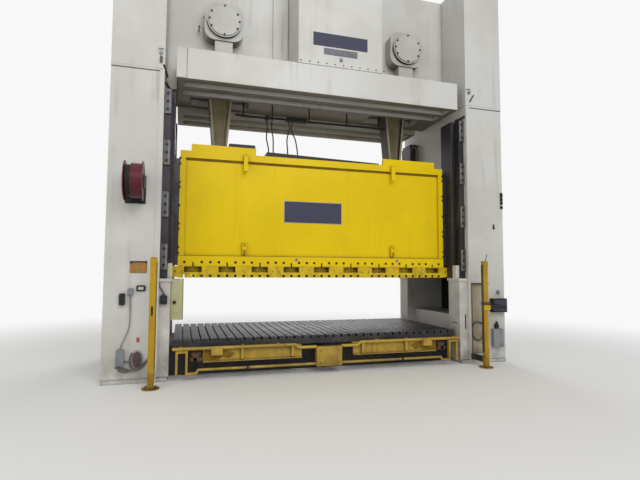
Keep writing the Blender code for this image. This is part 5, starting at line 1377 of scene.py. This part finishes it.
for z in (1.118, 1.158):
    clamp.box((3.003, -1.887, z), (3.150, -1.763, z + 0.030), 0.006)
clamp.fit("curtain_clamp_bands", slide_yellow, slot="safety_yellow")
bars = Shapes()
for side in SIDES.values():
    near, far = across(side, 3.0265, 3.0935)
    bars.box((near, -1.772, 0.0965), (far, FRONT - 0.002, 0.2035), 0.004)
bars.fit("toe_bar_covers", black_paint)
tube(
    "curtain_cable",
    [(3.09, -1.825, 2.05), (3.10, -1.82, 2.09), (3.13, -1.80, 2.15), (3.15, -1.78, 2.19)],
    0.007, hose_rubber,
)

# %% [markdown]
# ## The front guard
#
# The yellow rail is a scaffold pipe held by clamps. Clamps are short sleeves round the
# pipe, each with a bolt. Dirt gathers in the trough behind, and a rusty lifting device
# stands at each end. A bolted cover closes the box in the middle.

# %% Front guard
RAIL_Y, RAIL_Z, PIPE_Z = -1.39, 0.522, 0.165
clamps = Shapes()
for side in SIDES.values():
    for x in (2.62, 1.58, 0.95):
        clamps.bar("X", (side * x - 0.03, RAIL_Y, RAIL_Z), 0.037, 0.06, 20)
        clamps.bolt("Z", (side * x, RAIL_Y, 0.555), 0.010, 0.016)
clamps.fit("rail_clamps", safety_yellow)
knobs = Shapes()
for side in SIDES.values():
    knobs.bar("X", (side * 1.49 - 0.02, RAIL_Y, PIPE_Z), 0.034, 0.04, 20)
    knobs.bolt("Y", (side * 1.49, RAIL_Y - 0.03, PIPE_Z), 0.012, -0.02)
knobs.fit("pipe_knobs", bolt_black)
gear = Shapes()
for side in SIDES.values():
    near, far = across(side, 2.265, 2.465)
    gear.box((near, -1.36, 0.30), (far, -1.22, 0.37), 0.01)
    gear.box((near + 0.03, -1.37, 0.37), (far - 0.05, -1.24, 0.44), 0.012)
    gear.bar("X", (near + 0.02, -1.30, 0.42), 0.045, far - near - 0.04, 24)
    gear.bar("Y", (side * 2.38, -1.36, 0.335), 0.03, 0.10, 20)
gear.fit("lift_mechanism", rusty_steel)
stain = Shapes()
STAIN = (
    (2.24, 0.315), (2.02, 0.300), (1.92, 0.350), (1.80, 0.325), (1.70, 0.410), (1.86, 0.465),
    (2.05, 0.490), (2.24, 0.480),
)
for side in SIDES.values():
    stain.outline([(side * x, z) for x, z in STAIN], -1.3325, -1.3305)
stain.fit("trough_stains", step_brown, slot="dark_steel")
front = Shapes()
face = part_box("front_centre_box")[0][1] - MIDDLE
front.box((-0.20, face - 0.006, 0.16), (0.20, face, 0.43), 0.004)
front.fit("centre_box_cover", safety_yellow)
screws = Shapes()
for x in (-0.17, 0.17):
    for z in (0.19, 0.40):
        screws.bolt("Y", (x, face - 0.006, z), 0.009, -0.010)
screws.fit("centre_box_screws", bolt_black)

# %% [markdown]
# ## Hose reel
#
# The hose is wound on the drum in two layers of turns that touch. A helix is the
# natural curve for it: one turn round the drum for each hose width along the axle, there
# and back. It replaces the plain drum-shaped solid that stands for it in the motion
# model, and a plain bar inside it stands for the turns that don't show.

# %% Hose reel
hose_low, hose_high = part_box("reel_hose")
reel_y = (hose_low[1] + hose_high[1]) / 2 - MIDDLE
reel_z = (hose_low[2] + hose_high[2]) / 2
HOSE, CASE_RADIUS, RIM_RADIUS = 0.013, 0.279, 0.311
wound = (hose_high[2] - hose_low[2]) / 2 - HOSE
turns = int((hose_high[0] - hose_low[0]) / (2.02 * HOSE))
points = []
for layer in range(2):
    reach = wound - layer * 1.75 * HOSE
    for step in range(turns * 16 + 1):
        angle = math.tau * step / 16
        share = step / (turns * 16)
        if layer:
            share = 1 - share
        x = hose_low[0] + HOSE + share * (hose_high[0] - hose_low[0] - 2 * HOSE)
        points.append((x, reel_y + reach * math.cos(angle), reel_z + reach * math.sin(angle)))
hose = tube("wound_hose", points, HOSE, hose_rubber, "hose_reel", smooth=False)
hose.data.bevel_resolution = 2
inside = Shapes()
start, length = (hose_low[0] + 0.002, reel_y, reel_z), hose_high[0] - hose_low[0] - 0.004
inside.bar("X", start, wound - HOSE, length, 48)
inside.fit("inner_turns", hose_rubber, "hose_reel")
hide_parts("reel_hose")
case = Shapes()
case.bar("X", (-3.435, reel_y, reel_z), CASE_RADIUS, 0.158, 64)
case.fit("reel_spring_case", reel_red, "hose_reel")
bands = Shapes()
for x in (-3.437, -3.372):
    bands.bar("X", (x, reel_y, reel_z), CASE_RADIUS + 0.004, 0.010, 64)
bands.fit("reel_case_bands", reel_red, "hose_reel")
rims = Shapes()
disc_low, disc_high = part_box("reel_drum")
for x, out in ((disc_low[0], -1), (disc_high[0], 1)):
    for y, z in circle((reel_y, reel_z), 0.22, 6):
        rims.bolt("X", (x, y, z), 0.009, out * 0.006)
rims.fit("reel_disc_bolts", bolt_black, "hose_reel")
for index, x in enumerate((disc_low[0] + 0.006, disc_high[0] - 0.006)):
    ring = [(x, y, z) for y, z in circle((reel_y, reel_z), RIM_RADIUS, 48)]
    edge = tube(f"reel_rim_{index + 1}", ring, 0.009, reel_red, "hose_reel", smooth=False)
    edge.data.splines[0].use_cyclic_u = True

# %% [markdown]
# ## Side guards
#
# A steel panel closes the outer side of each upright's window. It is a frame with a
# sheet of expanded metal, held by bolts round its edge.

# %% Side guards
for side_name, side in SIDES.items():
    low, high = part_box("side_guard_" + side_name)
    outer = high[0] if side > 0 else low[0]
    y_low, y_high = low[1] - MIDDLE, high[1] - MIDDLE
    bars = Shapes()
    near, far = sorted((outer, outer + side * 0.02))
    for y in (y_low, y_high - 0.06):
        bars.box((near, y, low[2]), (far, y + 0.06, high[2]), 0.004)
    for z in (low[2], (low[2] + high[2]) / 2 - 0.03, high[2] - 0.06):
        bars.box((near, y_low + 0.06, z), (far, y_high - 0.06, z + 0.06), 0.004)
    bars.fit("guard_frame_" + side_name, black_paint)
    slats = Shapes()
    rows = 34
    for row in range(rows):
        z = low[2] + 0.09 + row * (high[2] - low[2] - 0.2) / (rows - 1)
        x_near, x_far = sorted((outer, outer + side * 0.006))
        slats.box((x_near, y_low + 0.07, z), (x_far, y_high - 0.07, z + 0.016), 0)
    slats.fit("guard_slats_" + side_name, grey_enclosure)
    bolts = Shapes()
    for y in (y_low + 0.03, y_high - 0.03):
        for step in range(6):
            z = low[2] + 0.12 + step * (high[2] - low[2] - 0.24) / 5
            bolts.bolt("X", (outer + side * 0.02, y, z), 0.012, side * 0.012)
    bolts.fit("guard_bolts_" + side_name, bolt_black)

# %% [markdown]
# ## Motor and belt guard
#
# The motor on the crown is cooled by fins along its body, and its fan sits under a
# round cowl. The guard over the belt is bolted together along its rim.

# %% Motor and belt guard
low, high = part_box("motor")
radius = 0.26
centre_x = (low[0] + high[0]) / 2
centre_z = high[2] - radius
y_low, y_high = low[1] - MIDDLE, high[1] - MIDDLE
fins = Shapes()
FINS, FINS_FROM, FINS_TO = 30, -0.81, 0.96
for x, z in circle((centre_x, centre_z), radius, FINS):
    if FINS_FROM < (z - centre_z) / radius < FINS_TO:
        fins.bar("Y", (x, y_low + 0.12, z), 0.007, y_high - y_low - 0.2, 8)
fins.bar("Y", (centre_x, y_low + 0.002, centre_z - 0.007), radius + 0.006, 0.11, 40)
side_x = centre_x + radius
fins.box((side_x - 0.03, -0.05, centre_z - 0.08), (side_x + 0.12, 0.14, centre_z + 0.10), 0.012)
fins.fit("motor_fins", grey_enclosure)
grille = Shapes()
for ring in range(5):
    for x, z in circle((centre_x, centre_z), 0.05 + ring * 0.042, 24):
        grille.bar("Y", (x, y_low + 0.002, z), 0.007, -0.004, 6)
grille.fit("motor_grille", bolt_black)

low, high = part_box("belt_guard")
back = high[1] - MIDDLE
DRIVE_X, DRIVE_Z, GUARD_RADIUS = 0.5, 7.52, 0.80
GUARD_FROM, GUARD_SWEEP = math.radians(150), math.radians(236)
bolts = Shapes()
for step in range(14):
    angle = GUARD_FROM + GUARD_SWEEP * step / 13
    x = DRIVE_X + GUARD_RADIUS * math.cos(angle)
    z = DRIVE_Z + GUARD_RADIUS * math.sin(angle)
    bolts.bolt("Y", (x, back, z), 0.012, 0.012)
bolts.fit("belt_guard_bolts", bolt_black)
rear_bolts = Shapes()
for side_name in SIDES:
    low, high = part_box("rear_cover_" + side_name)
    middle = ((low[0] + high[0]) / 2, (low[2] + high[2]) / 2)
    for x, z in circle(middle, 0.24, 8, start=0.5):
        rear_bolts.bolt("Y", (x, high[1] - MIDDLE, z), 0.018, 0.018)
rear_bolts.fit("rear_cover_bolts", bolt_black)

# %% [markdown]
# ## Floor, light and background
#
# The model stands on a plain pale floor, which keeps the shadows near the press. Further
# out it turns into an even white, the same as the background, but only for the camera
# and for reflections, so that it adds no light of its own. The change depends on the
# distance from the press.

# %% Floor
BACKDROP = 0.94
SEEN_FLOOR_NEAR, SEEN_FLOOR_FAR = 5.5, 13.0
floor_mesh = bmesh.new()
bmesh.ops.create_grid(floor_mesh, x_segments=1, y_segments=1, size=90)
floor_data = bpy.data.meshes.new("floor")
floor_mesh.to_mesh(floor_data)
floor_mesh.free()
floor = bpy.data.objects.new("floor", floor_data)
floor.location.z = -0.002
floor_paint = bpy.data.materials.new("floor")
floor_paint.use_nodes = True
paving = Net(floor_paint.node_tree)
floor_shader = floor_paint.node_tree.nodes["Principled BSDF"]
floor_shader.inputs["Base Color"].default_value = (0.84, 0.84, 0.83, 1.0)
floor_shader.inputs["Roughness"].default_value = 0.8
glow = paving.node("ShaderNodeEmission")
glow.inputs["Color"].default_value = (1.0, 1.0, 1.0, 1.0)
glow.inputs["Strength"].default_value = BACKDROP
away = paving.node("ShaderNodeVectorMath", operation="LENGTH")
paving.feed(away.inputs[0], paving.here())
far_out = paving.ramp(away.outputs["Value"], SEEN_FLOOR_NEAR, SEEN_FLOOR_FAR)
either = paving.node("ShaderNodeMixShader")
paving.feed(either.inputs[0], paving.sums("MULTIPLY", paving.seen(), far_out))
paving.feed(either.inputs[1], floor_shader.outputs[0])
paving.feed(either.inputs[2], glow.outputs[0])
paving.feed(floor_paint.node_tree.nodes["Material Output"].inputs["Surface"], either.outputs[0])
floor_data.materials.append(floor_paint)
bpy.context.scene.collection.objects.link(floor)
print("floor turns white from", SEEN_FLOOR_NEAR, "m out")

# %% [markdown]
# ## Light
#
# One large soft lamp stands in front and above, a weaker one fills from the left, and
# one stands behind. An even pale world lights the rest. Together they give about the
# light at which a colour comes out as it was mixed.

# %% Light
SKY = 0.42
world = bpy.data.worlds.new("studio")
world.use_nodes = True
bpy.context.scene.world = world
sky = Net(world.node_tree)
ground = world.node_tree.nodes["Background"]
strength = sky.sums("MULTIPLY_ADD", sky.seen(), BACKDROP - SKY, SKY)
sky.feed(ground.inputs["Strength"], strength)
ground.inputs["Color"].default_value = (1.0, 1.0, 1.0, 1.0)


def lamp(name, place, aim, size, power):
    """A square soft lamp that faces a given place."""
    data = bpy.data.lights.new(name, "AREA")
    data.size = size
    data.energy = power
    made = bpy.data.objects.new(name, data)
    made.location = spot(*place)
    made.rotation_euler = (spot(*aim) - spot(*place)).to_track_quat("-Z", "Y").to_euler()
    bpy.context.scene.collection.objects.link(made)


lamp("key", (1.0, -16.0, 12.0), (0, 0, 3.2), 10.0, 1250)
lamp("fill", (-11.0, -8.0, 6.0), (0, 0, 3.0), 7.0, 300)
lamp("back", (4.0, 12.0, 10.0), (0, 0, 4.0), 8.0, 800)
print("three lamps")

# %% [markdown]
# ## Finish
#
# View settings stay plain.

# %% Finish
bpy.context.scene.view_settings.view_transform = "Standard"
